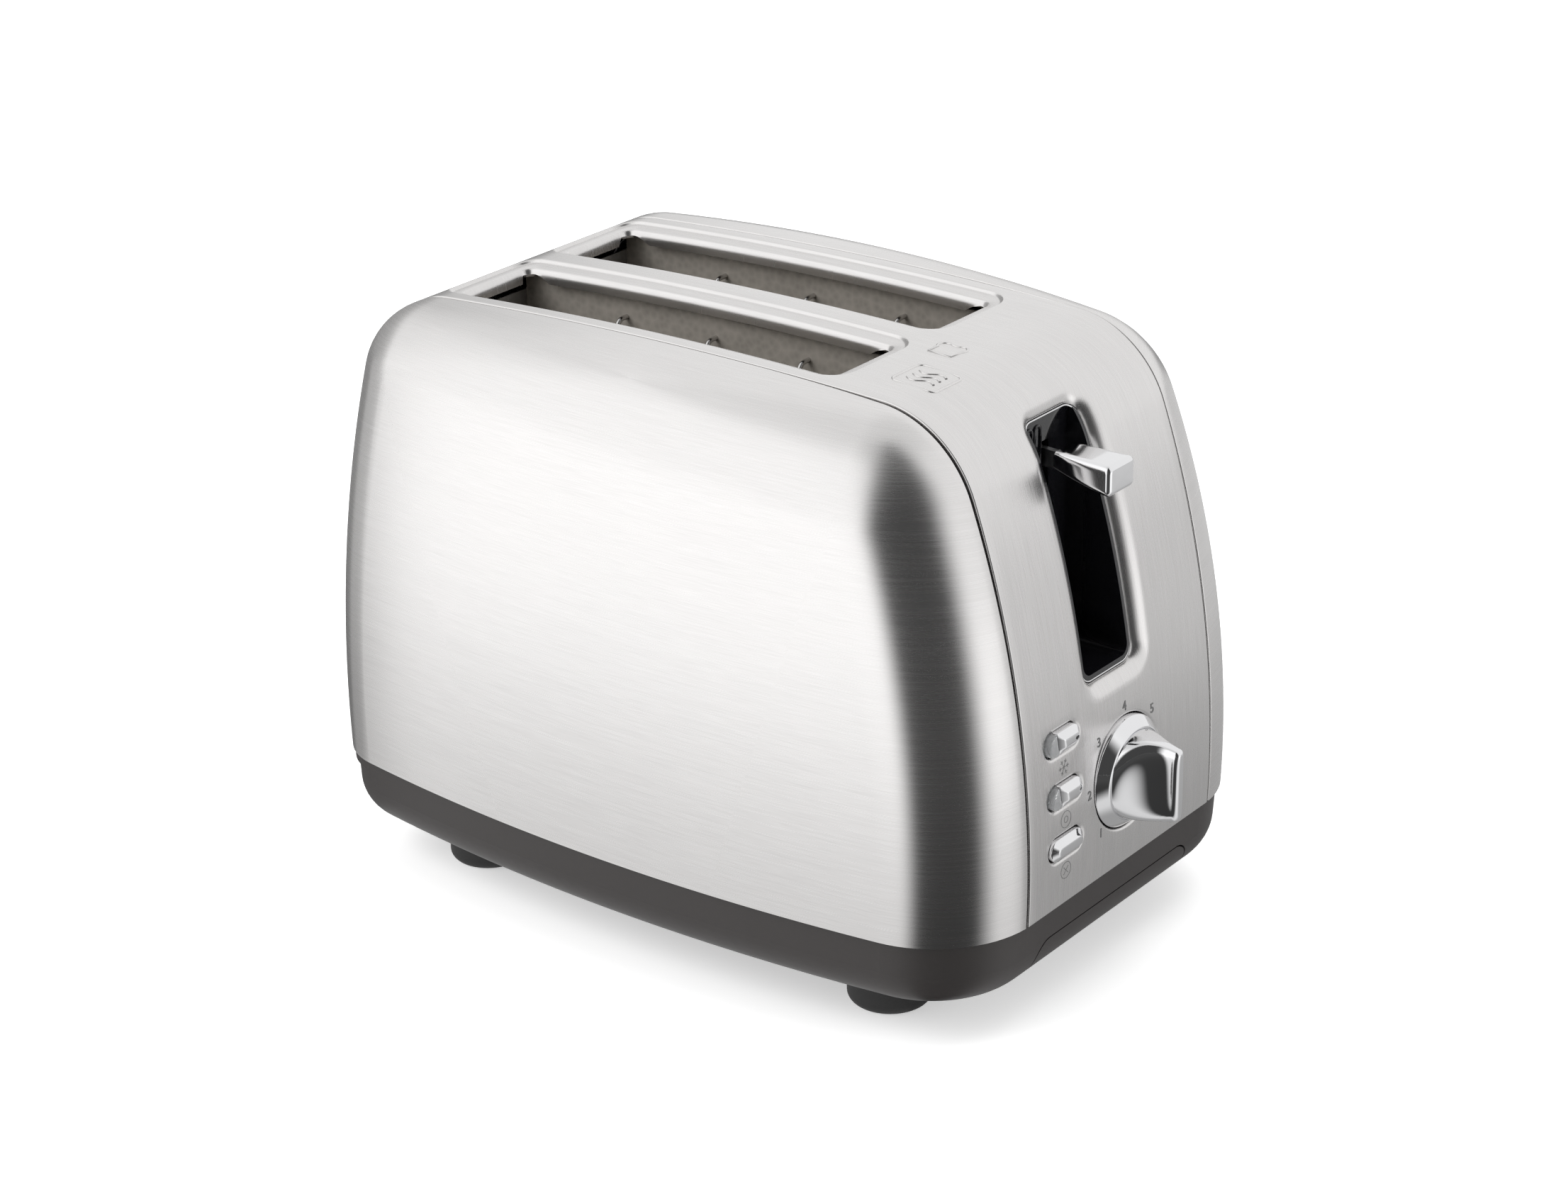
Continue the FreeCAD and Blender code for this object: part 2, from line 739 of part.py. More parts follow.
def bread_guide(side, way):
    """Wire grid that closes on the bread: two rails and upright wires."""
    y_rail = rail_side(side, way)
    x0 = bulkhead_rear - plate - 2.0
    x1 = bulkhead_front + plate + 2.0
    low = card_bottom + 4.0
    top = bulkhead_top - 1.5
    low_rail, high_rail = (rod(Vector(x0, y_rail, z), Vector(x1, y_rail, z), guide_rail)
                           for z in (guide_low_rail, guide_high_rail()))
    shape = low_rail.fuse(high_rail)
    for index in range(3):
        x = guide_hook_first + index * guide_hook_pitch
        upright = rod(Vector(x, side, low), Vector(x, side, top - hook_bend), guide_wire)
        shape = shape.fuse(upright).fuse(hook(x, side, way, top))
    for index in range(4):
        x = guide_hook_first + (index - 0.5) * guide_hook_pitch
        shape = shape.fuse(rod(Vector(x, side, low), Vector(x, side, guide_high_rail() + 4.0), guide_wire))
    return shape


def bread_carrier(side):
    """Lengthways strip with cross wires that the slice stands on."""
    half = carrier_strip / 2
    x0 = open_rear + 1.0
    y = side * slot_middle
    shape = box(x0, carriage_x, y - half, y + half, carrier_rest - carrier_depth, carrier_rest)
    pitch = (open_front - x0 - 12.0) / (tine_count - 1)
    for index in range(tine_count):
        x = x0 + 4.0 + index * pitch
        a = Vector(x, y - tine_length / 2, carrier_rest - 1.2)
        b = Vector(x, y + tine_length / 2, carrier_rest - 1.2)
        shape = shape.fuse(rod(a, b, 0.9))
    return shape


# ---------------------------------------------------------------- carriage
def lever_arm():
    """Flat arm from the carriage plate up to the lever knob."""
    back = half_length - lever_knob_back
    points = [
        (carriage_x + carriage_plate - 0.1, carrier_rest - 4.0),
        (carriage_x + carriage_plate - 0.1, carrier_rest + 20.0),
        (back - 12.0, lever_height + 3.0),
        (back + 8.0, lever_height + 2.0),
        (back + 8.0, lever_height - 2.0),
        (back - 9.0, lever_height - 3.0),
    ]
    corners = [Vector(x, -arm_thickness / 2, z) for x, z in points]
    face = Part.Face(Part.makePolygon(corners + corners[:1]))
    return face.extrude(Vector(0, arm_thickness, 0))


def carriage():
    """Plate with two sleeves on the rods, a spring tab and the lever arm."""
    low = carrier_rest - 10.0
    high = carrier_rest + 20.0
    wing = slot_middle + 4.0
    shape = box(carriage_x, carriage_x + carriage_plate, -wing, wing, low, high)
    for side in (1, -1):
        y = side * rod_side
        sleeve = rod(Vector(rod_x, y, low + 4.0), Vector(rod_x, y, high - 2.0), rod_radius + sleeve_wall)
        shape = shape.fuse(sleeve)
    for side in (1, -1):
        y = side * rod_side
        shape = shape.cut(rod(Vector(rod_x, y, low), Vector(rod_x, y, high), rod_radius + running_gap))
    shape = shape.fuse(box(rod_x - 4.0, carriage_x, -3.0, 3.0, high - 2.0, high))
    return shape.fuse(lever_arm()).removeSplitter()


def lever_knob():
    """Wedge-shaped knob, taller and a little narrower at its front."""
    back = half_length - lever_knob_back
    front = back + lever_knob_length
    half = lever_knob_width / 2
    top = lever_height + lever_knob_height / 2
    low_back = lever_height - lever_knob_height / 2 + 1.6
    low_front = lever_height - lever_knob_height / 2
    outline = [(back, top), (front, top - 0.3), (front, low_front), (back, low_back)]
    corners = [Vector(x, -half, z) for x, z in outline]
    block = Part.Face(Part.makePolygon(corners + corners[:1])).extrude(Vector(0, 2 * half, 0))
    block = block.makeFillet(lever_knob_edge, block.Edges)
    return block.cut(lever_arm())


def guide_rods():
    shapes = []
    for side in (1, -1):
        y = side * rod_side
        shapes.append(rod(Vector(rod_x, y, floor_top), Vector(rod_x, y, bracket_top), rod_radius))
    return group(shapes)


def rod_bracket():
    """Small plate on the front bulkhead that holds the upper ends of the rods."""
    x0 = bulkhead_front + plate
    half = rod_side + 6.0
    thickness = 1.2
    shape = box(x0, rod_x + 5.0, -half, half, bracket_top, bracket_top + thickness)
    return shape.fuse(box(x0, x0 + thickness, -half, half, bracket_top - 8.0, bracket_top))


def return_spring():
    """Coil spring that lifts the carriage, hung from the rod bracket."""
    low = carrier_rest + 20.0
    wire = 0.5
    turns = 12
    length = bracket_top - low - 2 * wire
    helix = Part.makeHelix(length / turns, length, spring_radius)
    start = helix.Edges[0].valueAt(helix.Edges[0].FirstParameter)
    section = Part.Wire([Part.makeCircle(wire, start, Y)])
    coil = Part.Wire(helix.Edges).makePipeShell([section], True, True)
    coil.translate(Vector(rod_x, 0, low + wire))
    return coil


# ---------------------------------------------------------------- magnet and electrics
def magnet_axis(z):
    return Vector(magnet_x, magnet_side, z)


def magnet_core():
    """Steel pole on a foot plate."""
    half = 10.0
    foot = box(magnet_x - half, magnet_x + half, magnet_side - half, magnet_side + half,
               floor_top, floor_top + magnet_foot)
    return foot.fuse(rod(magnet_axis(floor_top), magnet_axis(magnet_top), pole_radius))


def magnet_bobbin():
    low = floor_top + magnet_foot
    high = magnet_top - 1.0
    flange = 1.2
    shape = rod(magnet_axis(low), magnet_axis(high), pole_radius + bobbin_wall)
    shape = shape.fuse(rod(magnet_axis(low), magnet_axis(low + flange), bobbin_radius))
    shape = shape.fuse(rod(magnet_axis(high - flange), magnet_axis(high), bobbin_radius))
    return shape.cut(rod(magnet_axis(low - 1), magnet_axis(high + 1), pole_radius))


def magnet_coil():
    low = floor_top + magnet_foot + 1.2
    high = magnet_top - 2.2
    coil = rod(magnet_axis(low), magnet_axis(high), coil_radius)
    return coil.cut(rod(magnet_axis(low - 1), magnet_axis(high + 1), pole_radius + bobbin_wall))


def keeper():
    """Steel plate on the carriage that the magnet holds when the lever is down."""
    low = magnet_top + rest_gap + lever_travel
    x0 = carriage_x + carriage_plate
    return box(x0, magnet_x + 6.0, magnet_side - 6.0, magnet_side + 6.0, low, low + 2.0)


def board_holes():
    return [(-41.0, 46.0), (41.0, 46.0), (41.0, 88.0), (-12.5, 90.0)]


def control_board():
    half = board_half_width
    shape = box(board_x, board_x + board, -half, half, board_bottom, board_top)
    for y, z in board_holes():
        start = Vector(board_x - 1, y, z)
        end = Vector(board_x + 5, y, z)
        shape = shape.cut(rod(start, end, board_screw_radius + screw_clearance))
    return shape


def control_frame():
    """Plastic frame behind the band that carries the board and guides the buttons."""
    x0 = half_length * 0.75
    cover = body_solid(sheet + frame_gap).cut(body_solid(sheet + frame_gap + frame_wall))
    frame_top = lever_slot_bottom - lever_lip - 1.0
    shape = cover.common(box(x0, beyond, -45.0, 45.0, 42.0, frame_top))
    for y, z in board_holes():
        post = rod(Vector(board_x + board, y, z), Vector(end_x(z) - sheet - 1.5, y, z), board_post_radius)
        hole = rod(Vector(board_x, y, z), Vector(board_x + board + 8.0, y, z), board_screw_radius)
        shape = shape.fuse(post.cut(hole))
    cup_x = half_length - 9.0
    cup_bore = dial_radius + moving_gap
    cup = rod(dial_centre(cup_x), dial_centre(half_length - 2.5), cup_bore + 1.6)
    shape = shape.fuse(cup).cut(rod(dial_centre(cup_x + 1.6), dial_centre(beyond), cup_bore))
    shape = shape.cut(rod(dial_centre(x0), dial_centre(beyond), shaft_radius + 2.0))
    for height in button_heights:
        shape = shape.cut(button_prism(height, moving_gap, x0, beyond))
    return shape.common(body_solid(sheet + frame_gap))


def board_screws():
    shapes = []
    for y, z in board_holes():
        head = rod(Vector(board_x - 1.6, y, z), Vector(board_x, y, z), board_screw_head)
        shank = rod(Vector(board_x - 0.1, y, z), Vector(board_x + board + 6.0, y, z), board_screw_radius)
        shapes.append(head.fuse(shank))
    return group(shapes)


def button(height, with_lens):
    """Chrome button with a stem towards its switch."""
    blank = button_prism(height, 0.0, button_back, button_clear)
    shape = blank.common(body_solid(-button_reach))
    if with_lens:
        shape = shape.cut(lens_side(height, moving_gap, half_length / 2, beyond))
    front = [e for e in shape.Edges if e.CenterOfMass.x > end_x(height) + button_reach - button_front]
    shape = shape.makeFillet(button_front, front)
    start = Vector(half_length - 15.0, switch_side, height)
    return shape.fuse(rod(start, Vector(button_back + 0.1, switch_side, height), 1.8))


def indicator_lens(height):
    """Clear end of a button's outline, fixed to the frame."""
    blank = lens_side(height, 0.0, button_back, button_clear)
    return blank.common(body_solid(lens_step - button_reach))


def switches():
    """One push switch behind each button."""
    x = board_x + board
    half = 3.0
    shapes = []
    for height in button_heights:
        body = box(x, x + 2.2, switch_side - half, switch_side + half, height - half, height + half)
        plunger = rod(Vector(x + 2.0, switch_side, height), Vector(x + 2.6, switch_side, height), 1.7)
        shapes.append(body.fuse(plunger))
    return group(shapes)


def indicator_lamps():
    """A lamp behind each lens."""
    y = button_side - button_length / 2 + lens_share / 2
    shapes = []
    for height in button_heights[:2]:
        tip = Vector(half_length - 11.0, y, height)
        stem = rod(Vector(board_x + board, y, height), tip, lamp_radius)
        shapes.append(stem.fuse(Part.makeSphere(lamp_radius, tip)))
    return group(shapes)


def dial_centre(x):
    return Vector(x, dial_side, dial_height)


def potentiometer():
    """Browning control on the board, with its threaded neck."""
    x = board_x + board
    shape = rod(dial_centre(x), dial_centre(x + 6.0), pot_radius)
    shape = shape.fuse(rod(dial_centre(x + 5.9), dial_centre(x + 9.0), shaft_radius + 0.9))
    return shape.cut(rod(dial_centre(x + 1.0), dial_centre(x + 12.0), shaft_radius + running_gap))


def dial_shaft():
    x = board_x + board
    return rod(dial_centre(x + 1.5), dial_centre(half_length + 8.0), shaft_radius)


def browning_dial():
    """Round skirt with a grip that narrows to an upright bar at its front."""
    back = half_length - 5.5
    skirt_front = half_length + dial_skirt
    front = dial_front
    skirt = rod(dial_centre(back), dial_centre(skirt_front), dial_radius)
    rims = [e for e in skirt.Edges if e.BoundBox.XMin > skirt_front - 0.01]
    skirt = skirt.makeFillet(1.0, rims)
    grip = Part.makeCone(dial_grip_radius, dial_bar_height / 2, front - skirt_front + 1.0,
                         dial_centre(skirt_front - 1.0), X)
    rims = [e for e in grip.Edges if e.BoundBox.XMin > front - 0.01]
    grip = grip.makeFillet(1.2, rims)
    for side in (1, -1):
        grip = grip.cut(grip_flank(side, skirt_front, front))
    dial = skirt.fuse(grip)
    return dial.cut(dial_shaft()).removeSplitter()


def grip_flank(side, skirt_front, front):
    """Material cut from one side of the dial's grip."""
    half = dial_bar / 2
    start = dial_side + side * half
    wide = dial_side + side * (dial_grip_radius - 2.5)
    far = dial_side + side * (dial_grip_radius + 5.0)
    belly = dial_side + side * (half + 2.2)
    tip = Vector(front + 1.0, start, 0)
    root = Vector(skirt_front + 1.0, wide, 0)
    root_out = Vector(skirt_front + 1.0, far, 0)
    tip_out = Vector(front + 1.0, far, 0)
    edges = [
        Part.Arc(tip, Vector((front + skirt_front) / 2, belly, 0), root).toShape(),
        Part.makeLine(root, root_out),
        Part.makeLine(root_out, tip_out),
        Part.makeLine(tip_out, tip),
    ]
    return Part.Face(Part.Wire(edges)).extrude(Vector(0, 0, 2 * dial_height))


def lever_trim():
    """Glossy well behind the lever slot, with an upright slit for the lever arm."""
    back = half_length - lever_knob_back - 8.6
    wall = 1.3
    well = lever_opening(-rest_gap, back, beyond)
    room = lever_opening(-rest_gap - wall, back + 1.6, beyond)
    shape = well.common(body_solid(lever_lip_drop + 0.4)).cut(room)
    slit_top = lever_height + 5.0
    slit_low = lever_slot_bottom + 2.0
    return shape.cut(box(back - 1, back + 3, -arm_thickness, arm_thickness, slit_low, slit_top))


def terminal_middle():
    return bulkhead_rear - bulkhead_fold - terminal_half - rest_gap


def terminal_block():
    """Where the mains wires end, beside the rear bulkhead."""
    x = terminal_middle()
    block = box(x - terminal_half, x + terminal_half, -16.0, 16.0, floor_top, floor_top + 11.0)
    for y in terminal_sides:
        low = Vector(x, y, floor_top + 6.0)
        block = block.cut(rod(low, low + 20.0 * Z, terminal_screw_radius + thread_gap))
    return block


def terminal_screws():
    x = terminal_middle()
    shapes = []
    for y in terminal_sides:
        low = Vector(x, y, floor_top + 6.0)
        shapes.append(rod(low, low + 3.5 * Z, terminal_screw_radius))
    return group(shapes)


def power_contacts():
    """Insulating block of the heaters' switch."""
    return box(contact_x - 6.0, contact_x + 6.0, 12.0, 30.0, floor_top, floor_top + contact_block)


def contact_blades():
    """Two brass blades on the insulating block."""
    low = floor_top + contact_block
    blades = [box(contact_x - 3.0, contact_x + 3.0, y, y + 0.8, low, low + 12.0) for y in (16.0, 26.0)]
    return group(blades)


# ---------------------------------------------------------------- writing the pieces
def build():
    band, left_panel, right_panel = steel_skin()
    pieces = {
        "centre_band": band,
        "side_panel_left": left_panel,
        "side_panel_right": right_panel,
        "base": base_shell(),
        "feet": feet(),
        "base_screws": base_screws(),
        "crumb_tray_front": tray_front(),
        "crumb_tray_pan": tray_pan(),
        "cord_gland": cord_gland(),
        "floor_plate": floor_plate(),
        "front_bulkhead": front_bulkhead(),
        "rear_bulkhead": rear_bulkhead(),
        "bulkhead_screws": bulkhead_screws(),
        "outer_reflector_right": outer_reflector(1),
        "outer_reflector_left": outer_reflector(-1),
        "centre_reflector": centre_reflector(),
        "carrier_right": bread_carrier(1),
        "carrier_left": bread_carrier(-1),
        "carriage": carriage(),
        "lever_knob": lever_knob(),
        "guide_rods": guide_rods(),
        "rod_bracket": rod_bracket(),
        "return_spring": return_spring(),
        "magnet_core": magnet_core(),
        "magnet_bobbin": magnet_bobbin(),
        "magnet_coil": magnet_coil(),
        "magnet_keeper": keeper(),
        "control_board": control_board(),
        "control_frame": control_frame(),
        "board_screws": board_screws(),
        "defrost_button": button(button_heights[0], True),
        "reheat_button": button(button_heights[1], True),
        "cancel_button": button(button_heights[2], False),
        "defrost_lens": indicator_lens(button_heights[0]),
        "reheat_lens": indicator_lens(button_heights[1]),
        "switches": switches(),
        "indicator_lamps": indicator_lamps(),
        "potentiometer": potentiometer(),
        "dial_shaft": dial_shaft(),
        "browning_dial": browning_dial(),
        "lever_trim": lever_trim(),
        "terminal_block": terminal_block(),
        "terminal_screws": terminal_screws(),
        "power_contacts": power_contacts(),
        "contact_blades": contact_blades(),
    }
    for name, side in card_sides():
        pieces["heater_card_" + name] = heater_card(side)
        pieces["heater_ribbon_" + name] = ribbon_turns(side)
    for name, side, way in guide_sides():
        pieces["bread_guide_" + name] = bread_guide(side, way)
    return pieces


os.makedirs("parts", exist_ok=True)
for name, shape in build().items():
    shape.translate(Vector(-origin_x, 0, 0))
    shape.exportStep("parts/" + name + ".step")
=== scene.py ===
"""Visual model of the two-slot pop-up toaster, laid out as a Blender add-on."""
import json
import math

import bmesh
import bpy
from mathutils import Matrix, Vector, geometry


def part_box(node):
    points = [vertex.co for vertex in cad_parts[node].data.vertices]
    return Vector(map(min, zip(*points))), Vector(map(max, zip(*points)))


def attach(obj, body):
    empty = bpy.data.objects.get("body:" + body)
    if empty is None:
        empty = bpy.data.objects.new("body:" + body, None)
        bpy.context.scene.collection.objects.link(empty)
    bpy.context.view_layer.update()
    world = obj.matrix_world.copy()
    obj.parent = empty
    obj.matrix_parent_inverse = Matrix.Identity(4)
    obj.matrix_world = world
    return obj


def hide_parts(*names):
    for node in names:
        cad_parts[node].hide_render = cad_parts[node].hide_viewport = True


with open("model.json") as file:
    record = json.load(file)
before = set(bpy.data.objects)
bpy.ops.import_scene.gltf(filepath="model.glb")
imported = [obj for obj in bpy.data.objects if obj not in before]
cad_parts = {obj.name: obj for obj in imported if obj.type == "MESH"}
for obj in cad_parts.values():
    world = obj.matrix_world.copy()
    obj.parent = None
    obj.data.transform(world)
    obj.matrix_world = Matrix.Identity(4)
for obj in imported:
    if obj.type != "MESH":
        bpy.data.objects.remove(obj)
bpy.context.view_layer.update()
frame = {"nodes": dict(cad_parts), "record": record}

bl_info = {
    "name": "Pop-up toaster",
    "version": (1, 0, 0),
    "blender": (4, 5, 0),
    "location": "3D View > Sidebar > Toaster",
    "description": "Builds the visible pieces of a two-slot toaster on its mechanical frame",
    "category": "Object",
}

NODES = frame["nodes"]
SLOT_OF = {part["node"]: part["material_slot"] for part in frame["record"]["subparts"]}
PANEL_LOW, PANEL_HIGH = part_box("side_panel_right")
BAND_LOW, BAND_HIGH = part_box("centre_band")
MIDDLE = (PANEL_LOW[0] + PANEL_HIGH[0]) / 2  # of the steel body; shapes are drawn with x = 0 there
HALF_LENGTH = (PANEL_HIGH[0] - PANEL_LOW[0]) / 2
HALF_WIDTH = PANEL_HIGH[1]
TOP = BAND_HIGH[2]
STEEL_BOTTOM = BAND_LOW[2]
MM = 0.001
PER_METRE = 1000  # millimetres


# ---------------------------------------------------------------- sizes and colours
def length(name, description, default):
    return bpy.props.FloatProperty(
        name=name, description=description, default=default, unit="LENGTH", precision=5)


def colour(name, description, default):
    return bpy.props.FloatVectorProperty(
        name=name, description=description, default=(*default, 1.0), subtype="COLOR", size=4,
        min=0.0, max=1.0)


class ToasterSteel(bpy.types.PropertyGroup):
    """Sizes of the pressed steel form"""

    dome_radius: length("Dome radius", "Lengthways arc of the top", 1.5)
    front_radius: length("Control end radius", "Arc of the control end", 0.335)
    rear_radius: length("Cord end radius", "Arc of the cord end", 0.52)
    front_shoulder: length("Front shoulder", "Arc between the top and the control end", 0.036)
    rear_shoulder: length("Rear shoulder", "Arc between the top and the cord end", 0.025)
    widest: length("Widest height", "Height at which the form stands out furthest", 0.05)
    plan_radius: length("Side bulge", "Arc of the sides seen from above", 0.68)
    rise_radius: length("Side rise", "Arc of the sides seen from the end", 1.0)
    front_roll: length("Front roll", "Rolled edge at the control end", 0.035)
    rear_roll: length("Rear roll", "Rolled edge at the cord end's shoulder", 0.023)
    rear_foot_roll: length("Rear foot roll", "Rolled edge at the cord end's foot", 0.0258)
    sheet: length("Sheet", "Thickness of the steel", 0.0007)
    edge: length("Folded edge", "Radius of the folded seam edges", 0.0005)
    fold: length("Fold depth", "Depth of the folded seam edges", 0.0044)


class ToasterColours(bpy.types.PropertyGroup):
    """Base colours of the main finishes"""

    steel: colour("Steel", "Brushed stainless steel", (0.77, 0.757, 0.75))
    chrome: colour("Chrome", "Polished chrome", (0.84, 0.84, 0.85))
    plastic: colour("Base plastic", "Dark satin plastic", (0.030, 0.026, 0.025))
    gloss: colour("Gloss black", "Lever well", (0.004, 0.004, 0.005))
    mica: colour("Mica", "Heater cards", (0.46, 0.425, 0.38))
    floor: colour("Floor", "Studio floor", (0.90, 0.90, 0.90))


# ---------------------------------------------------------------- shader writing
class Value:
    """A number socket that takes part in Python arithmetic."""

    def __init__(self, tree, socket):
        self.tree = tree
        self.socket = socket

    def _math(self, operation, *terms):
        return self.tree.add("ShaderNodeMath", {"operation": operation}, dict(enumerate(terms)))

    def __add__(self, other):
        return self._math("ADD", self, other)

    __radd__ = __add__

    def __mul__(self, other):
        return self._math("MULTIPLY", self, other)

    __rmul__ = __mul__

    def __sub__(self, other):
        return self._math("SUBTRACT", self, other)

    def __rsub__(self, other):
        return self._math("SUBTRACT", other, self)

    def below(self, level):
        return self._math("LESS_THAN", self, level)

    def turn_from(self, along):
        """Angle of the point (along, self) about the origin, in radians."""
        return self._math("ARCTAN2", self, along)

    def between(self, low, high):
        """0 below low, 1 above high and a smooth rise between."""
        return self.tree.add("ShaderNodeMapRange", {"interpolation_type": "SMOOTHSTEP"},
                             {"Value": self, "From Min": low, "From Max": high})


class Tree:
    """One node tree and the only method that adds nodes to it."""

    def __init__(self, owner):
        owner.use_nodes = True
        self.owner = owner
        self.nodes = owner.node_tree.nodes
        self.links = owner.node_tree.links
        self.nodes.clear()

    def add(self, kind, settings=None, inputs=None, out=0):
        """Adds a node; inputs are constants or the Values that feed them. Gives its output as a Value."""
        node = self.nodes.new(kind)
        for key, value in (settings or {}).items():
            setattr(node, key, value)
        for key, value in (inputs or {}).items():
            if isinstance(value, Value):
                self.links.new(value.socket, node.inputs[key])
            else:
                node.inputs[key].default_value = value
        return Value(self, node.outputs[out]) if len(node.outputs) else node

    def place(self):
        return self.add("ShaderNodeTexCoord", out=3)

    def surface(self):
        return self.add("ShaderNodeUVMap", {"uv_map": "surface"})

    def scaled(self, vector, scale):
        return self.add("ShaderNodeMapping", {}, {"Vector": vector, "Scale": scale})

    def noise(self, vector, scale=1.0, detail=2.0, rough=0.5):
        return self.add("ShaderNodeTexNoise", {},
                        {"Vector": vector, "Scale": scale, "Detail": detail, "Roughness": rough})

    def axes(self, vector):
        return [self.add("ShaderNodeSeparateXYZ", {}, {"Vector": vector}, out=i) for i in range(3)]

    def blend(self, factor, a, b):
        return self.add("ShaderNodeMix", {"data_type": "RGBA"}, {0: factor, 6: a, 7: b}, out=2)

    def bump(self, height, strength, distance):
        return self.add("ShaderNodeBump", {}, {"Height": height, "Strength": strength, "Distance": distance})

    def finish(self, **inputs):
        shader = self.add("ShaderNodeBsdfPrincipled", {}, {k.replace("_", " "): v for k, v in inputs.items()})
        self.add("ShaderNodeOutputMaterial", {}, {"Surface": shader})
        return self.owner


def shade(tint, share):
    return (tint[0] * share, tint[1] * share, tint[2] * share, 1.0)


def grey(level):
    return (level, level, level, 1.0)


def brushed(t, across, tint, depth, **constants):
    """Steel with fine lines along the first of two surface coordinates, that many to the metre."""
    along = t.surface()
    wide = t.noise(t.scaled(along, (9.0, across * 0.06, 1.0)), detail=3.0)
    medium = t.noise(t.scaled(along, (40.0, across * 0.35, 1.0)), detail=2.0)
    fine = t.noise(t.scaled(along, (110.0, across, 1.0)), detail=1.0)
    clouds = t.noise(along, scale=14.0, detail=2.0)
    tone = 0.18 * wide + 0.42 * medium + 0.40 * fine
    rough = 0.27 + 0.08 * (medium - 0.5) + 0.05 * (clouds - 0.5)
    return t.finish(Base_Color=t.blend(tone, shade(tint, 0.86), shade(tint, 1.14)), Metallic=1.0,
                    Roughness=rough, Normal=t.bump(0.5 * medium + 0.5 * fine, 0.5, depth), **constants)


def grained(t, low, high, rough, swing, relief, grains, detail=3.0, **constants):
    """Tone, roughness and relief (strength, depth) that follow one grain; grains is its count per metre."""
    grain = t.noise(t.scaled(t.place(), grains), detail=detail)
    return t.finish(Base_Color=t.blend(grain, low, high), Roughness=rough + swing * grain,
                    Normal=t.bump(grain, *relief), **constants)


def write_metal(t, tint, rough, grains):
    return grained(t, shade(tint, 0.8), shade(tint, 1.1), rough, 0.2, (0.2, 0.00008), grains, Metallic=1.0)


def write_panel_steel(t):
    return brushed(t, 3600.0, colours().steel, 0.00003, Anisotropic=0.6, Anisotropic_Rotation=0.25)


def write_band_steel(t):
    return brushed(t, 3300.0, shade(colours().steel, 0.97), 0.00004)


def write_inner_steel(t):
    grain = t.noise(t.scaled(t.place(), (30.0, 900.0, 900.0)), detail=2.0)
    soot = t.noise(t.place(), scale=35.0, detail=4.0)
    tint = colours().steel
    face = t.blend(grain, shade(tint, 0.75), shade(tint, 1.0))
    face = t.blend(soot.between(0.45, 0.75) * 0.4, face, (0.16, 0.14, 0.12, 1.0))
    return t.finish(Base_Color=face, Metallic=0.9, Roughness=0.36 + 0.18 * soot,
                    Normal=t.bump(grain, 0.3, 0.0001))


def write_plain_steel(t):
    tint = colours().steel
    return grained(t, shade(tint, 0.9), shade(tint, 1.1), 0.24, 0.1, (0.2, 0.00005),
                   (40.0, 1500.0, 1500.0), detail=2.0, Metallic=1.0)


def write_chrome(t):
    smears = t.noise(t.place(), scale=90.0, detail=4.0)
    pits = t.noise(t.place(), scale=1500.0, detail=2.0)
    return t.finish(Base_Color=t.blend(smears, shade(colours().chrome, 0.95), colours().chrome),
                    Metallic=1.0, Roughness=0.035 + 0.05 * smears, Normal=t.bump(pits, 0.05, 0.00002))


def write_satin_chrome(t):
    tint = shade(colours().chrome, 0.92)
    return grained(t, tint, tint, 0.16, 0.12, (0.15, 0.00004), (900.0, 60.0, 60.0), detail=2.0, Metallic=1.0)


def write_base_plastic(t):
    grain = t.noise(t.place(), scale=2600.0, detail=3.0)
    cloud = t.noise(t.place(), scale=25.0, detail=3.0)
    tint = colours().plastic
    face = t.blend(cloud, shade(tint, 0.88), shade(tint, 1.15))
    return t.finish(Base_Color=face, Roughness=0.40 + 0.10 * cloud, Normal=t.bump(grain, 0.25, 0.00006))


def write_gloss_black(t):
    ripple = t.noise(t.place(), scale=60.0, detail=2.0)
    dust = t.noise(t.place(), scale=900.0, detail=3.0)
    return t.finish(Base_Color=t.blend(dust, colours().gloss, shade(colours().gloss, 1.6)),
                    Roughness=0.05 + 0.05 * ripple, Coat_Weight=0.4, Normal=t.bump(ripple, 0.1, 0.0002))


def write_white_plastic(t):
    tint = (0.72, 0.71, 0.68)
    return grained(t, shade(tint, 0.85), shade(tint, 1.1), 0.38, 0.1, (0.2, 0.00006), (1400.0,) * 3)


def write_rubber(t):
    return grained(t, grey(0.012), (0.028, 0.027, 0.027, 1.0), 0.62, 0.15, (0.4, 0.0001), (1800.0,) * 3)


def write_print(t):
    return grained(t, grey(0.10), grey(0.20), 0.5, 0.15, (0.1, 0.00003), (2500.0,) * 3, Metallic=0.3)


def write_lens(t):
    return grained(t, (0.80, 0.81, 0.82, 1.0), (0.92, 0.93, 0.94, 1.0), 0.05, 0.08, (0.05, 0.00003),
                   (500.0,) * 3, detail=2.0, IOR=1.49, Transmission_Weight=0.75)


def write_mica(t):
    place = t.place()
    flakes = t.add("ShaderNodeTexVoronoi", {}, {"Vector": place, "Scale": 420.0})
    cloud = t.noise(place, scale=40.0, detail=4.0)
    tint = colours().mica
    face = t.blend(0.5 * flakes + 0.5 * cloud, shade(tint, 0.62), shade(tint, 1.15))
    return t.finish(Base_Color=face, Metallic=0.15, Roughness=0.42 + 0.25 * cloud,
                    Normal=t.bump(flakes, 0.4, 0.0002))


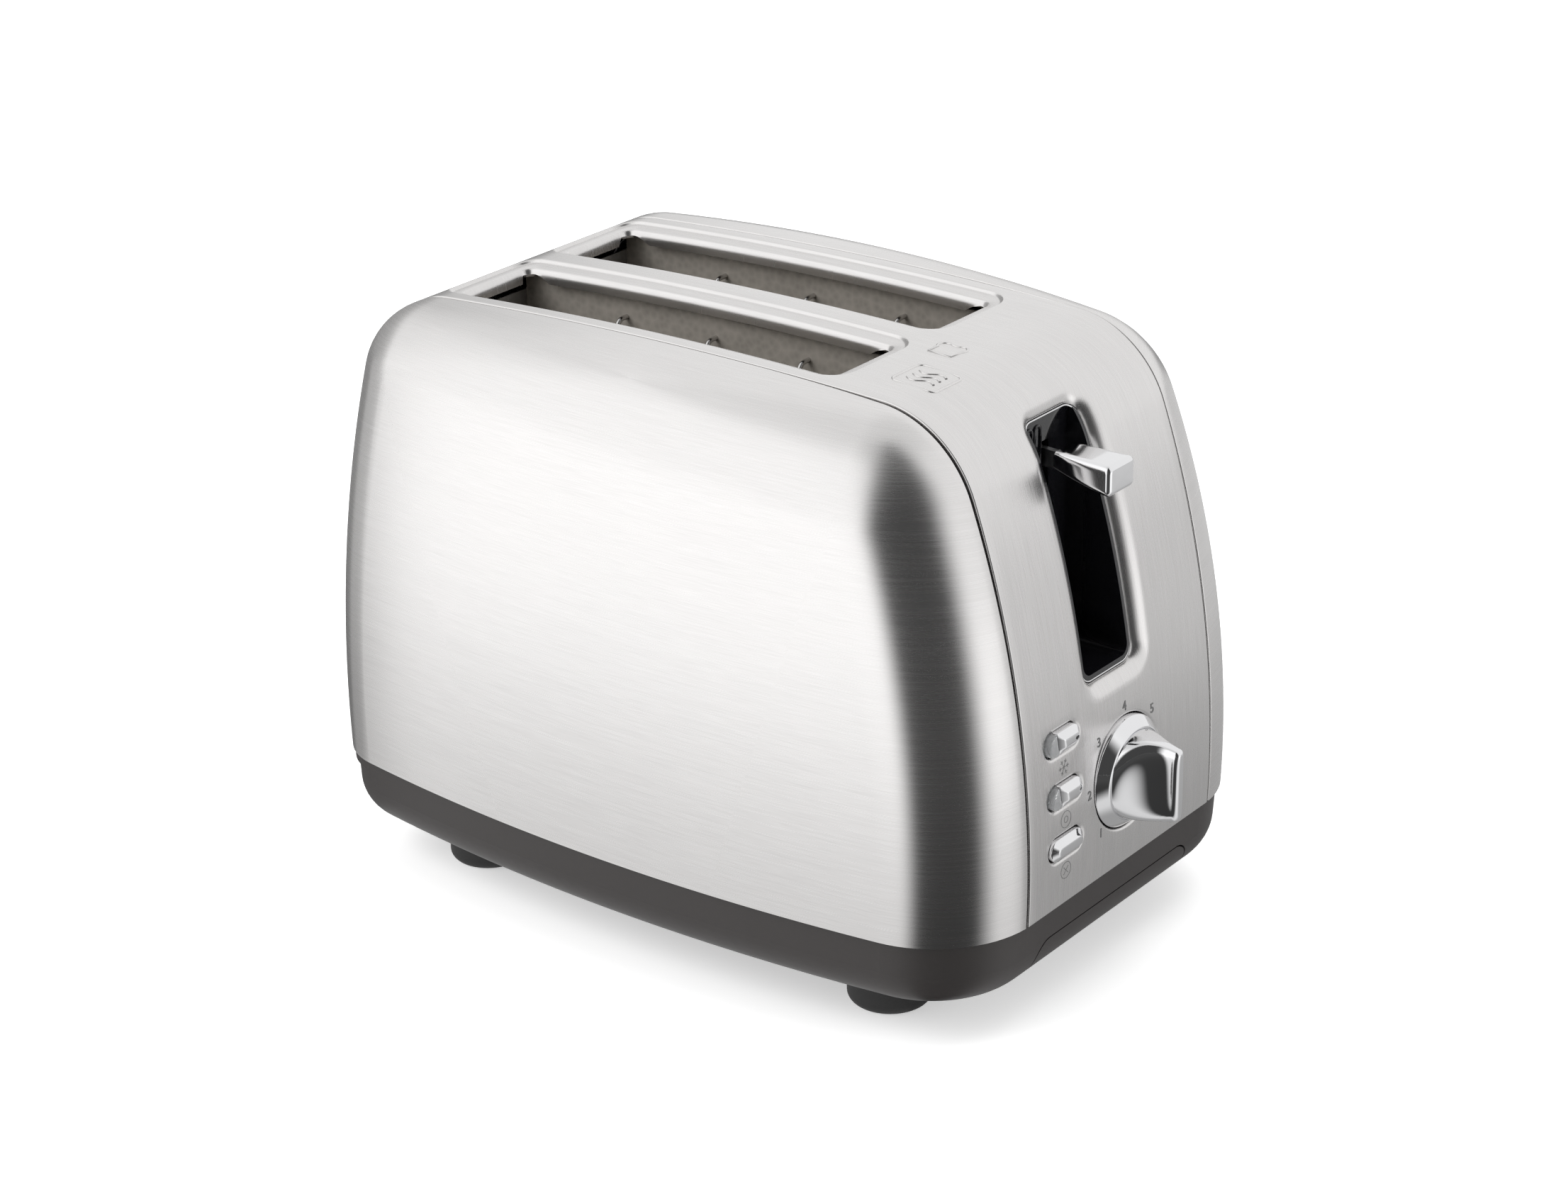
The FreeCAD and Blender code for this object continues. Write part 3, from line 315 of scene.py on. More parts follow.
def write_board(t):
    weave = t.add("ShaderNodeTexChecker", {}, {"Vector": t.place(), "Scale": 1600.0}, out=1)
    tracks = t.noise(t.scaled(t.place(), (1.0, 180.0, 320.0)), detail=1.0).between(0.5, 0.52)
    face = t.blend(tracks, (0.008, 0.05, 0.02, 1.0), (0.015, 0.09, 0.03, 1.0))
    return t.finish(Base_Color=face, Roughness=0.35 + 0.05 * weave, Coat_Weight=0.3,
                    Normal=t.bump(tracks, 0.4, 0.0001))


WRITERS = {
    "panel_steel": write_panel_steel, "band_steel": write_band_steel, "inner_steel": write_inner_steel,
    "plain_steel": write_plain_steel, "chrome": write_chrome, "satin_chrome": write_satin_chrome,
    "base_plastic": write_base_plastic, "gloss_black": write_gloss_black, "rubber": write_rubber,
    "white_plastic": write_white_plastic, "mica": write_mica, "lens": write_lens, "print": write_print,
    "board": write_board,
}
METALS = {  # tint, least roughness, grains to the metre
    "zinc": ((0.55, 0.55, 0.56), 0.24, (300.0,) * 3),
    "wire": ((0.62, 0.61, 0.60), 0.12, (500.0, 500.0, 60.0)),
    "nichrome": ((0.42, 0.40, 0.38), 0.30, (80.0, 900.0, 900.0)),
    "brass": ((0.72, 0.53, 0.24), 0.18, (400.0,) * 3),
    "copper": ((0.70, 0.34, 0.20), 0.20, (200.0, 200.0, 3000.0)),
    "iron": ((0.30, 0.29, 0.28), 0.32, (300.0,) * 3),
}
FINISH_OF_SLOT = {"steel": "inner_steel", "dark_plastic": "base_plastic"}  # other slots name their finish
FINISHES = {}


def finish_of(name):
    """The named finish, made once."""
    if name not in FINISHES:
        t = Tree(bpy.data.materials.new(name))
        FINISHES[name] = write_metal(t, *METALS[name]) if name in METALS else WRITERS[name](t)
    return FINISHES[name]


def sizes():
    return bpy.context.scene.toaster_steel


def colours():
    return bpy.context.scene.toaster_colours


# ---------------------------------------------------------------- making pieces
def add_object(name, data):
    item = bpy.data.objects.new(name, data)
    bpy.context.scene.collection.objects.link(item)
    return item


def new_piece(name, points, faces, finish, body="housing", surface=None, sharp=35.0):
    """A finished object from points in metres measured from the middle of the steel body."""
    mesh = bpy.data.meshes.new(name)
    mesh.from_pydata([(x + MIDDLE, y, z) for x, y, z in points], [], faces)
    if surface:
        layer = mesh.uv_layers.new(name="surface")
        for loop in mesh.loops:
            layer.data[loop.index].uv = surface[loop.vertex_index]
    settle(mesh, sharp)
    piece = add_object(name, mesh)
    mesh.materials.append(finish_of(finish))
    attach(piece, body)
    return piece


def settle(mesh, sharp):
    """Merges doubles, drops slivers and shades the mesh smooth up to an angle."""
    work = bmesh.new()
    work.from_mesh(mesh)
    bmesh.ops.remove_doubles(work, verts=work.verts, dist=0.000004)
    bmesh.ops.dissolve_degenerate(work, edges=work.edges, dist=0.000002)
    work.to_mesh(mesh)
    work.free()
    mesh.shade_smooth()
    mesh.set_sharp_from_angle(angle=math.radians(sharp))


def thicken(piece, thickness):
    """Gives a one-sided sheet its thickness, behind its outward face."""
    solid = piece.modifiers.new("thickness", "SOLIDIFY")
    solid.thickness = thickness
    solid.offset = -1.0
    solid.use_even_offset = False
    apply_modifiers(piece)


def apply_modifiers(piece):
    """Turns what the modifiers make into the piece's own plain mesh."""
    result = bpy.data.meshes.new_from_object(piece.evaluated_get(bpy.context.evaluated_depsgraph_get()))
    piece.modifiers.clear()
    old = piece.data
    piece.data = result
    bpy.data.meshes.remove(old)


def cut_below(piece, level):
    """Trims a sheet at a level above the floor."""
    work = bmesh.new()
    work.from_mesh(piece.data)
    parts = list(work.verts) + list(work.edges) + list(work.faces)
    bmesh.ops.bisect_plane(work, geom=parts, plane_co=(0, 0, level), plane_no=(0, 0, -1),
                           clear_outer=True, dist=1e-6)
    work.to_mesh(piece.data)
    work.free()


class BodyForm:
    """The pressed form: a side outline of five arcs, from the foot of the control end over the top to the
    foot of the cord end, with bulged sides and rolled edges."""

    SPARE = 0.003  # by how much the outline runs on below the steel's cut edge

    def __init__(self):
        p = sizes()
        self.p = p
        foot = STEEL_BOTTOM - self.SPARE
        front = self._end(p.front_shoulder, p.front_radius, foot)
        rear = self._end(p.rear_shoulder, p.rear_radius, foot)
        dome = (0.0, TOP - p.dome_radius, p.dome_radius, front[2][0], math.pi - rear[2][0])
        arcs = [
            (*front[0], p.front_radius, front[2][2], front[2][1]),
            (*front[1], p.front_shoulder, front[2][1], front[2][0]),
            dome,
            (-rear[1][0], rear[1][1], p.rear_shoulder, math.pi - rear[2][0], math.pi - rear[2][1]),
            (-rear[0][0], rear[0][1], p.rear_radius, math.pi - rear[2][1], math.pi - rear[2][2]),
        ]
        self.arcs = []
        start = 0.0
        for x, z, radius, a0, a1 in arcs:
            end = start + radius * (a1 - a0)
            self.arcs.append((x, z, radius, a0, start, end))
            start = end
        self.total = start

    def _end(self, shoulder, radius, foot):
        """Centres of an end's arc and its shoulder, and the angles at top, joint and foot."""
        p = self.p
        end = (HALF_LENGTH - radius, p.widest)
        r_end = radius - shoulder
        r_top = p.dome_radius - shoulder
        dx = -end[0]
        dz = TOP - p.dome_radius - end[1]
        gap = math.hypot(dx, dz)
        along = (r_end ** 2 - r_top ** 2 + gap ** 2) / (2 * gap)
        off = math.sqrt(r_end ** 2 - along ** 2)
        corner = (end[0] + (along * dx - off * dz) / gap, end[1] + (along * dz + off * dx) / gap)
        a_top = math.atan2(corner[1] - TOP + p.dome_radius, corner[0])
        a_end = math.atan2(corner[1] - end[1], corner[0] - end[0])
        a_low = math.asin((foot - p.widest) / radius)
        return end, corner, (a_top, a_end, a_low)

    def at(self, s):
        """Point and outward direction (x, z, nx, nz) at a distance along the outline."""
        s = min(max(s, 0.0), self.total)
        for x, z, radius, a0, start, end in self.arcs:
            if s <= end + 1e-12:
                break
        angle = a0 + (s - start) / radius
        return (x + radius * math.cos(angle), z + radius * math.sin(angle), math.cos(angle), math.sin(angle))

    def on_top(self, x):
        """Distance along the outline of a point of the dome."""
        _, _, radius, a0, start, _ = self.arcs[2]
        return start + radius * (math.acos(x / radius) - a0)

    def on_front(self, z):
        """Distance along the outline of a height on the control end or its shoulder."""
        for _, cz, radius, a0, start, end in self.arcs[:2]:
            sine = (z - cz) / radius
            if abs(sine) <= 1:
                s = start + radius * (math.asin(sine) - a0)
                if start - 1e-9 <= s <= end:
                    return s
        return self.arcs[1][5]

    def roll(self, s):
        """Radius of the rolled edge beside a place on the outline."""
        p = self.p
        if s <= self.arcs[2][4]:
            return p.front_roll
        if s <= self.arcs[2][5]:
            share = (s - self.arcs[2][4]) / (self.arcs[2][5] - self.arcs[2][4])
            return p.front_roll + share * (p.rear_roll - p.front_roll)
        if s <= self.arcs[3][5]:
            return p.rear_roll
        share = (s - self.arcs[4][4]) / (self.arcs[4][5] - self.arcs[4][4])
        return p.rear_roll + share * (p.rear_foot_roll - p.rear_roll)

    def side(self, x, z, inset=0.0):
        """y of the bulged side, and its outward direction."""
        p = self.p
        rise = p.rise_radius - inset
        level = math.sqrt(rise ** 2 - (z - p.widest) ** 2)
        ring = p.plan_radius - p.rise_radius + level
        deep = math.sqrt(ring ** 2 - x ** 2)
        up = (z - p.widest) / rise
        flat = level / rise
        return HALF_WIDTH - p.plan_radius + deep, Vector((x / ring * flat, deep / ring * flat, up))

    def surface(self, s, y, depth=0.0):
        """Point of the band at a distance along the outline and a place across it."""
        x, z, nx, nz = self.at(s)
        return (x - depth * nx, y, z - depth * nz)


def grid_faces(rows, columns, closed=False, start=0):
    """Quads between the rows of a grid of points."""
    faces = []
    for i in range(rows - 1):
        for j in range(columns if closed else columns - 1):
            k = (j + 1) % columns
            faces.append((start + i * columns + j, start + i * columns + k,
                          start + (i + 1) * columns + k, start + (i + 1) * columns + j))
    return faces


def fold_profile():
    """(distance in from the edge, depth) pairs over a folded seam edge, from the fold's foot to the face."""
    p = sizes()
    pairs = [(0.0, p.fold), (0.0, (p.fold + p.edge) / 2)]
    for k in range(6):
        angle = math.pi / 2 * k / 5
        pairs.append((p.edge * (1 - math.cos(angle)), p.edge * (1 - math.sin(angle))))
    return pairs


def build_side_panel(name, side):
    """One brushed side: rows across it run from the folded seam over the rolled edge to the foot."""
    form = BodyForm()
    seam = PANEL_LOW[1]
    rows = 301
    level_steps, arc_steps, flat_steps = 4, 16, 30
    lean = 0.5  # how far the brushing's grain shifts along the panel as it rounds an end
    rolled = []
    for i in range(rows):
        s = form.total * i / (rows - 1)
        x, z, nx, nz = form.at(s)
        radius = form.roll(s)
        cx = x - radius * nx
        cz = z - radius * nz
        cy, side_way = form.side(cx, cz, radius)
        rolled.append((x, z, nx, nz, radius, Vector((cx, cy, cz)), side_way))
    contacts = [centre + radius * way for _, _, _, _, radius, centre, way in rolled]
    lengths = [0.0]
    for a, b in zip(contacts, contacts[1:]):
        lengths.append(lengths[-1] + (b - a).length)
    points = []
    surface = []
    for (x, z, nx, nz, radius, centre, way), contact, run in zip(rolled, contacts, lengths):
        climb = max(nz, 0.0) ** 2  # 1 on the top, 0 on the ends
        outline_way = Vector((nx, 0, nz))
        start = seam + sizes().edge
        turned, drop = 0.0, 0.0
        if centre.y < start:  # the roll is wider than the panel here, so it begins part of the way round
            turn = outline_way.angle(way)
            turned = math.asin((start - centre.y) / radius * math.sin(turn) / way.y) / turn
            drop = radius * (1 - math.cos(turned * turn))
        row = [Vector((x - (depth + drop) * nx, seam + step, z - (depth + drop) * nz))
               for step, depth in fold_profile()]
        level = max(centre.y, start)
        row += [Vector((x - drop * nx, start + (level - start) * k / level_steps, z - drop * nz))
                for k in range(1, level_steps + 1)]
        row += [centre + radius * outline_way.slerp(way, turned + (1 - turned) * k / arc_steps)
                for k in range(1, arc_steps + 1)]
        share = run / lengths[-1]
        foot = contacts[0].lerp(contacts[-1], share)
        for k in range(1, flat_steps + 1):
            px = contact.x + (foot.x - contact.x) * k / flat_steps
            pz = contact.z + (foot.z - contact.z) * k / flat_steps
            row.append(Vector((px, form.side(px, pz)[0], pz)))
        for point in row:
            points.append((point.x, side * point.y, point.z))
            across = point.z + climb * max(0.0, contact.y - point.y)
            shift = -lean * side * (1 - climb) * point.y * (1 if nx > 0 else -1)
            surface.append((point.x + shift, across))
    faces = grid_faces(rows, len(points) // rows)
    if side < 0:
        faces = [face[::-1] for face in faces]
    piece = new_piece(name, points, faces, "panel_steel", surface=surface, sharp=50.0)
    cut_below(piece, STEEL_BOTTOM)
    thicken(piece, sizes().sheet)
    settle(piece.data, 50.0)
    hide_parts(name)


# ---------------------------------------------------------------- centre band
# Rim profiles: (distance in from the outer line, depth) in millimetres.
SLOT_RIM = ((0.0, 0.0), (0.2, 0.03), (0.42, 0.14), (0.62, 0.36), (0.85, 0.80), (1.0, 0.98), (1.25, 1.08),
            (1.6, 1.14), (4.3, 1.72), (4.7, 1.86), (4.95, 2.08), (5.2, 2.5), (5.5, 3.3), (5.62, 4.0),
            (5.65, 5.0), (5.65, 6.2))
LEVER_LIP = ((0.0, 0.0), (0.5, 0.02), (1.2, 0.12), (2.0, 0.33), (2.9, 0.68), (3.8, 1.15), (4.6, 1.70),
             (5.2, 2.25), (5.65, 2.85), (5.9, 3.5), (6.0, 4.2), (6.0, 5.8))
BUTTON_RIM = ((0.0, 0.0), (0.2, 0.03), (0.5, 0.16), (0.8, 0.36), (1.05, 0.62), (1.2, 0.95), (1.25, 1.4),
              (1.25, 2.6))
DIAL_RIM = ((0.0, 0.0), (0.25, 0.03), (0.55, 0.15), (0.8, 0.38), (0.95, 0.75), (1.0, 1.3), (1.0, 3.2))
SLOT_ENDS = (0.056, -0.0985)  # x of the rims' outer lines
SLOT_MIDDLE = 0.02475  # of each slot, from the middle line
SLOT_HALF_WIDTH = 0.02095  # to the rims' outer lines
SLOT_CORNER, LIP_CORNER = 0.009, 0.011
WELL_GAP = 0.0003  # between the lever well and the lip
LIP_REACH = 0.006  # from that gap to the lip's outer line
BUTTON_RIM_REACH = 0.0016  # from a button to its rim's outer line
DIAL_RIM_REACH = 0.0014
BEND_STEP, ARC_STEP, ACROSS_STEP = 0.0016, 0.0045, 0.0033  # of the band's net
NET_MARGIN = 0.0013  # kept free of net points around the openings
BUTTON_TRIM = (0.0009, 0.0011)  # the visible buttons are slimmer than their nodes, in y and z at each side
BUTTONS = {"defrost_button": "defrost", "reheat_button": "reheat", "cancel_button": "cancel"}


def middle_of(low, high):
    """Middle (y, z) of a box."""
    return (low[1] + high[1]) / 2, (low[2] + high[2]) / 2


def rounded_loop(centre, half, corner, inward, corner_steps, side_steps):
    """Rounded rectangle in (s, y), inward from its outer line, with matching points at every distance."""
    hub = (half[0] - corner, half[1] - corner)
    radius = max(corner - inward, 0.0)
    loop = []
    for quarter, (a, b) in enumerate(((1, 1), (-1, 1), (-1, -1), (1, -1))):
        start = math.pi / 2 * quarter
        for k in range(corner_steps + 1):
            angle = start + math.pi / 2 * k / corner_steps
            loop.append((centre[0] + a * hub[0] + radius * math.cos(angle),
                         centre[1] + b * hub[1] + radius * math.sin(angle)))
        following = ((-1, 1), (-1, -1), (1, -1), (1, 1))[quarter]
        steps = side_steps[quarter % 2]
        here = loop[-1]
        shift = (hub[0] * (following[0] - a), hub[1] * (following[1] - b))
        for k in range(1, steps):
            loop.append((here[0] + shift[0] * k / steps, here[1] + shift[1] * k / steps))
    return loop


class PressedOpening:
    """An opening with a pressed rim: its outer line in (s, y), its corner and its rim profile."""

    def __init__(self, centre, half, corner, rim, steps, notched=False):
        self.centre = centre
        self.half = half
        self.corner = corner
        self.rim = rim
        self.steps = steps
        self.notched = notched

    def loop(self, inward):
        """The outer line moved inward."""
        return rounded_loop(self.centre, self.half, self.corner, inward, *self.steps)

    def holds(self, s, y, margin):
        """Whether a place lies inside the outer line, grown by a margin."""
        ds = abs(s - self.centre[0]) - (self.half[0] - self.corner)
        dy = abs(y - self.centre[1]) - (self.half[1] - self.corner)
        if ds > 0 and dy > 0:
            return math.hypot(ds, dy) < self.corner + margin
        return max(ds, dy) < self.corner + margin

    def deepest(self, s, y):
        """How deep the wall may reach: a slot's long walls are cut away on a slant near their ends."""
        unlimited, shallow, level, slant = 1.0, 0.0035, 0.002, 1.1
        if not self.notched:
            return unlimited
        end = self.half[0] - self.corner - abs(s - self.centre[0])
        beside = abs(y - self.centre[1]) > self.half[1] - self.corner
        if not beside and end < 0:
            return unlimited
        return min(max(shallow, shallow + (end - level) * slant), unlimited)


def round_opening(form, low, high, reach, rim, steps):
    """An opening with round ends about a control's box."""
    y, z = middle_of(low, high)
    half, half_width = ((high[axis] - low[axis]) / 2 + reach for axis in (2, 1))
    corner = half - 0.00001  # leaves every side some length
    return PressedOpening((form.on_front(z), y), (half, max(half, half_width)), corner, rim, steps)


def openings_of(form):
    """The two slots, the lever well, the three buttons and the dial."""
    start, end = (form.on_top(x) for x in SLOT_ENDS)
    found = [PressedOpening(((start + end) / 2, side * SLOT_MIDDLE), ((end - start) / 2, SLOT_HALF_WIDTH),
                            SLOT_CORNER, SLOT_RIM, (8, (48, 12)), True) for side in (1, -1)]
    low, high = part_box("lever_trim")
    start = form.on_front(low[2] - WELL_GAP) - LIP_REACH
    end = form.on_front(high[2] + WELL_GAP) + LIP_REACH
    half_width = (high[1] - low[1]) / 2 + WELL_GAP + LIP_REACH
    found.append(PressedOpening(((start + end) / 2, 0.0), ((end - start) / 2, half_width),
                                LIP_CORNER, LEVER_LIP, (9, (24, 8))))
    for name in BUTTONS:
        found.append(round_opening(form, *box_of_button(name), BUTTON_RIM_REACH, BUTTON_RIM, (10, (1, 6))))
    found.append(round_opening(form, *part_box("browning_dial"), DIAL_RIM_REACH, DIAL_RIM, (18, (1, 1))))
    return found


def box_of_button(name):
    """Box of a button's whole outline, with its lens."""
    low, high = (list(corner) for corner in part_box(name))
    lens = name.replace("button", "lens")
    if lens in NODES:
        more_low, more_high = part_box(lens)
        low = [min(a, b) for a, b in zip(low, more_low)]
        high = [max(a, b) for a, b in zip(high, more_high)]
    for axis, trim in enumerate(BUTTON_TRIM, 1):
        low[axis] += trim
        high[axis] -= trim
    return low, high


def spread(low, high, step):
    """Evenly spaced numbers from low to high, about a step apart."""
    count = max(1, round((high - low) / step))
    return [low + (high - low) * k / count for k in range(count + 1)]


def outline_places(form):
    """Distances along the outline, closer together where it bends."""
    places = []
    for index, (_, _, _, _, start, end) in enumerate(form.arcs):
        places += spread(start, end, BEND_STEP if index in (1, 3) else ARC_STEP)[:-1]
    return places + [form.total]


def build_centre_band():
    """The band: a net over its outline with the openings left free, their rims and the folded seams."""
    form = BodyForm()
    openings = openings_of(form)
    edge = BAND_HIGH[1] - sizes().edge
    along = outline_places(form)
    across = spread(-edge, edge, ACROSS_STEP)
    flat = []
    links = []

    def add_loop(loop):
        first = len(flat)
        flat.extend(Vector((PER_METRE * s, PER_METRE * y)) for s, y in loop)
        count = len(loop)
        links.extend((first + k, first + (k + 1) % count) for k in range(count))

    add_loop([(s, -edge) for s in along] + [(form.total, y) for y in across[1:-1]]
             + [(s, edge) for s in reversed(along)] + [(0.0, y) for y in reversed(across[1:-1])])
    for opening in openings:
        add_loop(opening.loop(0.0))
    for s in along[1:-1]:
        for y in across[1:-1]:
            if not any(opening.holds(s, y, NET_MARGIN) for opening in openings):
                flat.append(Vector((PER_METRE * s, PER_METRE * y)))
    verts, _, tris, _, _, _ = geometry.delaunay_2d_cdt(flat, links, [], 0, 1e-5)
    points = []
    surface = []

    def put(s, y, depth=0.0):
        points.append(form.surface(s, y, depth))
        surface.append((s, y))
        return len(points) - 1

    for v in verts:
        put(v.x / PER_METRE, v.y / PER_METRE)
    faces = []
    for tri in tris:
        s, y = (sum(verts[k][axis] for k in tri) / (3 * PER_METRE) for axis in range(2))
        if not any(opening.holds(s, y, -0.000001) for opening in openings):
            faces.append(tuple(reversed(tri)))
    for opening in openings:
        start = len(points)
        for inward, depth in opening.rim:
            for (s, y), (s0, y0) in zip(opening.loop(inward * MM), opening.loop(0.0)):
                put(s, y, min(depth * MM, opening.deepest(s0, y0)))
        columns = len(opening.loop(0.0))
        faces += [face[::-1] for face in grid_faces(len(opening.rim), columns, True, start)]
    for side in (1, -1):
        start = len(points)
        for s in along:
            for step, depth in fold_profile():
                put(s, side * (edge + sizes().edge - step), depth)
        strip = grid_faces(len(along), len(fold_profile()), False, start)
        faces += strip if side < 0 else [face[::-1] for face in strip]
    piece = new_piece("centre_band", points, faces, "band_steel", surface=surface, sharp=60.0)
    cut_below(piece, STEEL_BOTTOM)
    thicken(piece, sizes().sheet)
    settle(piece.data, 60.0)
    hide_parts("centre_band")


# ---------------------------------------------------------------- lofted controls
def ray_outline(distance, centre, inset, count):
    """Points of a convex outline pulled in by an inset; distance(a, b) is negative inside."""
    reach, halvings = 0.06, 34
    loop = []
    for k in range(count):
        angle = 2 * math.pi * k / count
        ca, sa = math.cos(angle), math.sin(angle)
        low, high = 0.0, reach
        for _ in range(halvings):
            middle = (low + high) / 2
            if distance(centre[0] + middle * ca, centre[1] + middle * sa) < -inset:
                low = middle
            else:
                high = middle
        loop.append((centre[0] + low * ca, centre[1] + low * sa))
    return loop


def loft(rings):
    """Points and outward faces of a stack of rings along +x, capped at both ends."""
    count = len(rings[0])
    points = [point for ring in rings for point in ring]
    faces = grid_faces(len(rings), count, True)
    for index, flip in ((len(rings) - 1, False), (0, True)):
        points.append(tuple(sum(point[i] for point in rings[index]) / count for i in range(3)))
        hub = len(points) - 1
        fan = [(index * count + k, index * count + (k + 1) % count, hub) for k in range(count)]
        faces += [face[::-1] for face in fan] if flip else fan
    return points, faces


def box_points(low, high):
    """Corners and outward faces of a plain block given in the frame's own coordinates."""
    points = [(x - MIDDLE, y, z) for x in (low[0], high[0]) for y in (low[1], high[1])
              for z in (low[2], high[2])]
    return points, [(0, 1, 3, 2), (4, 6, 7, 5), (0, 4, 5, 1), (2, 3, 7, 6), (0, 2, 6, 4), (1, 5, 7, 3)]


def build_card_heads():
    """Upper ends of the heater cards, seen through the bread slots."""
    crest = TOP - 0.0078
    for side in ("left", "right"):
        for place in ("inner", "outer"):
            low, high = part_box("heater_card_%s_%s" % (place, side))
            points, faces = box_points((low[0], low[1], high[2]), (high[0], high[1], crest))
            new_piece("card_head_%s_%s" % (place, side), points, faces, "mica")


def rounding(radius, steps):
    """(distance to the front, inset) pairs over a rounded front edge, without the first."""
    turns = [math.pi / 2 * k / steps for k in range(1, steps + 1)]
    return [(radius * (1 - math.sin(turn)), radius * (1 - math.cos(turn))) for turn in turns]


def build_dial():
    """Skirt and a grip that narrows on hollow flanks to an upright bar."""
    low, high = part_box("browning_dial")
    cy, cz = middle_of(low, high)
    radius = (high[2] - low[2]) / 2
    back, front = low[0] - MIDDLE, high[0] - MIDDLE
    skirt_front = HALF_LENGTH + 0.0026
    skirt_edge = ((-0.0032, 0.0), (-0.0030, 0.00005), (-0.0028, 0.0002), (-0.0003, 0.0027),
                  (-0.0001, 0.0029), (0.0, 0.0032), (-0.0004, 0.0034))  # (from the front, inset)
    neck = radius - skirt_edge[-1][1] - 0.0002
    sunk = 0.0004  # from the skirt's front back to the grip's foot
    bar = 0.0023  # half the width of the grip's front
    hollow, slant = 0.0110, 0.0014  # the flanks' spread at the grip's foot
    taper = 0.0023  # by how much the grip's ends draw in towards its front
    edge = 0.0017
    count, steps = 160, 44
    turns = [2 * math.pi * k / count for k in range(count)]
    rings = []

    def ring(x, outline):
        rings.append([(x, cy + r * math.cos(a), cz + r * math.sin(a)) for a, r in zip(turns, outline)])

    ring(back, [radius] * count)
    for x, inset in skirt_edge:
        ring(skirt_front + x, [radius - inset] * count)
    grip = front - edge - skirt_front + sunk
    for k in range(steps + 1):
        t = k / steps
        flank = bar + hollow * (1 - t) ** 2.3 + slant * (1 - t)
        ring(skirt_front - sunk + grip * t, grip_outline(neck - taper * t ** 1.4, flank, turns, 0.0))
    for ahead, inset in rounding(edge, 8):
        ring(front - ahead, grip_outline(neck - taper, bar, turns, inset))
    points, faces = loft(rings)
    piece = new_piece("browning_dial", points, faces, "chrome", "dial", sharp=40.0)
    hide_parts("browning_dial")


def grip_outline(round_part, flank, turns, inset):
    """Distances from the axis: a circle cut by two flanks, with softened corners."""
    power = 6.5  # the higher, the sharper the corners
    outline = []
    for angle in turns:
        reach = (flank - inset) / max(abs(math.cos(angle)), 1e-4)
        outline.append(((round_part - inset) ** -power + reach ** -power) ** (-1 / power))
    return outline


def build_lever_knob():
    """Chrome knob that grows wider and deeper towards its rounded front."""
    low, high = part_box("lever_knob")
    back, front = low[0] - MIDDLE, high[0] - MIDDLE + 0.0008
    top, bottom = high[2] + 0.0002, low[2] - 0.0013
    half = high[1] + 0.0003
    root_share = 0.86  # width at the back, as a share of the width at the front
    rise = 0.0042  # of the underside at the back
    slope = 0.0003  # of the top towards the front
    edge, corner = 0.0018, 0.0019
    rows = [(back + (front - edge - back) * k / 12, 0.0) for k in range(13)]
    rows += [(front - ahead, inset) for ahead, inset in rounding(edge, 8)]
    rings = []
    for x, inset in rows:
        t = (x - back) / (front - back)
        wide = half * (root_share + (1 - root_share) * t)
        high_z = top - slope * t
        low_z = bottom + rise * (1 - t) ** 1.5
        centre = (0.0, (high_z + low_z) / 2)
        half_z = (high_z - low_z) / 2

        def distance(y, z, wide=wide, half_z=half_z, centre=centre):
            dy = abs(y) - wide + corner
            dz = abs(z - centre[1]) - half_z + corner
            outside = math.hypot(max(dy, 0.0), max(dz, 0.0))
            return outside + min(max(dy, dz), 0.0) - corner

        rings.append([(x, y, z) for y, z in ray_outline(distance, centre, inset, 112)])
    points, faces = loft(rings)
    piece = new_piece("lever_knob", points, faces, "chrome", "carriage", sharp=45.0)
    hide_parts("lever_knob")


LEAN = 0.06  # slope of the buttons' fronts, which follow the control end
CUT_SLOPE = 0.14  # of the line between a button and its lens
CUT_GAP = 0.00045
BUTTON_FRONT = ((-0.0077, 0.0), (-0.0019, 0.0), (-0.0017, 0.00005), (-0.00156, 0.00018), (-0.0005, 0.00175),
                (-0.00034, 0.00195), (-0.00025, 0.0022), (-0.0002, 0.0026))  # (from the front, inset)
LENS_FRONT = ((-0.0076, 0.0), (-0.0017, 0.0), (-0.0013, 0.00005), (-0.0009, 0.00022), (-0.0006, 0.00052),
              (-0.00036, 0.00095), (-0.0002, 0.0015), (-0.00012, 0.0020))


def pill_distance(low, high, cut, keep):
    """Distance to a button's whole outline, or to its part on one side (keep 1 or -1) of the slanted cut."""
    half = (high[2] - low[2]) / 2
    start, end = low[1] + half, high[1] - half
    cz = (low[2] + high[2]) / 2

    def distance(y, z):
        pill = math.hypot(y - min(max(y, start), end), z - cz) - half
        if cut is None:
            return pill
        return max(pill, keep * (y - cut + CUT_SLOPE * (z - cz)))

    return distance


def build_pill(name, distance, centre, low_z, rows, count, finish, body):
    """Lofts a button or lens from its outline; rows give its front edge."""
    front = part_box(name)[1][0] - MIDDLE
    rings = [[(front + step - LEAN * (z - low_z), y, z)
              for y, z in ray_outline(distance, centre, inset, count)] for step, inset in rows]
    points, faces = loft(rings)
    piece = new_piece(name, points, faces, finish, body, sharp=50.0)
    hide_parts(name)


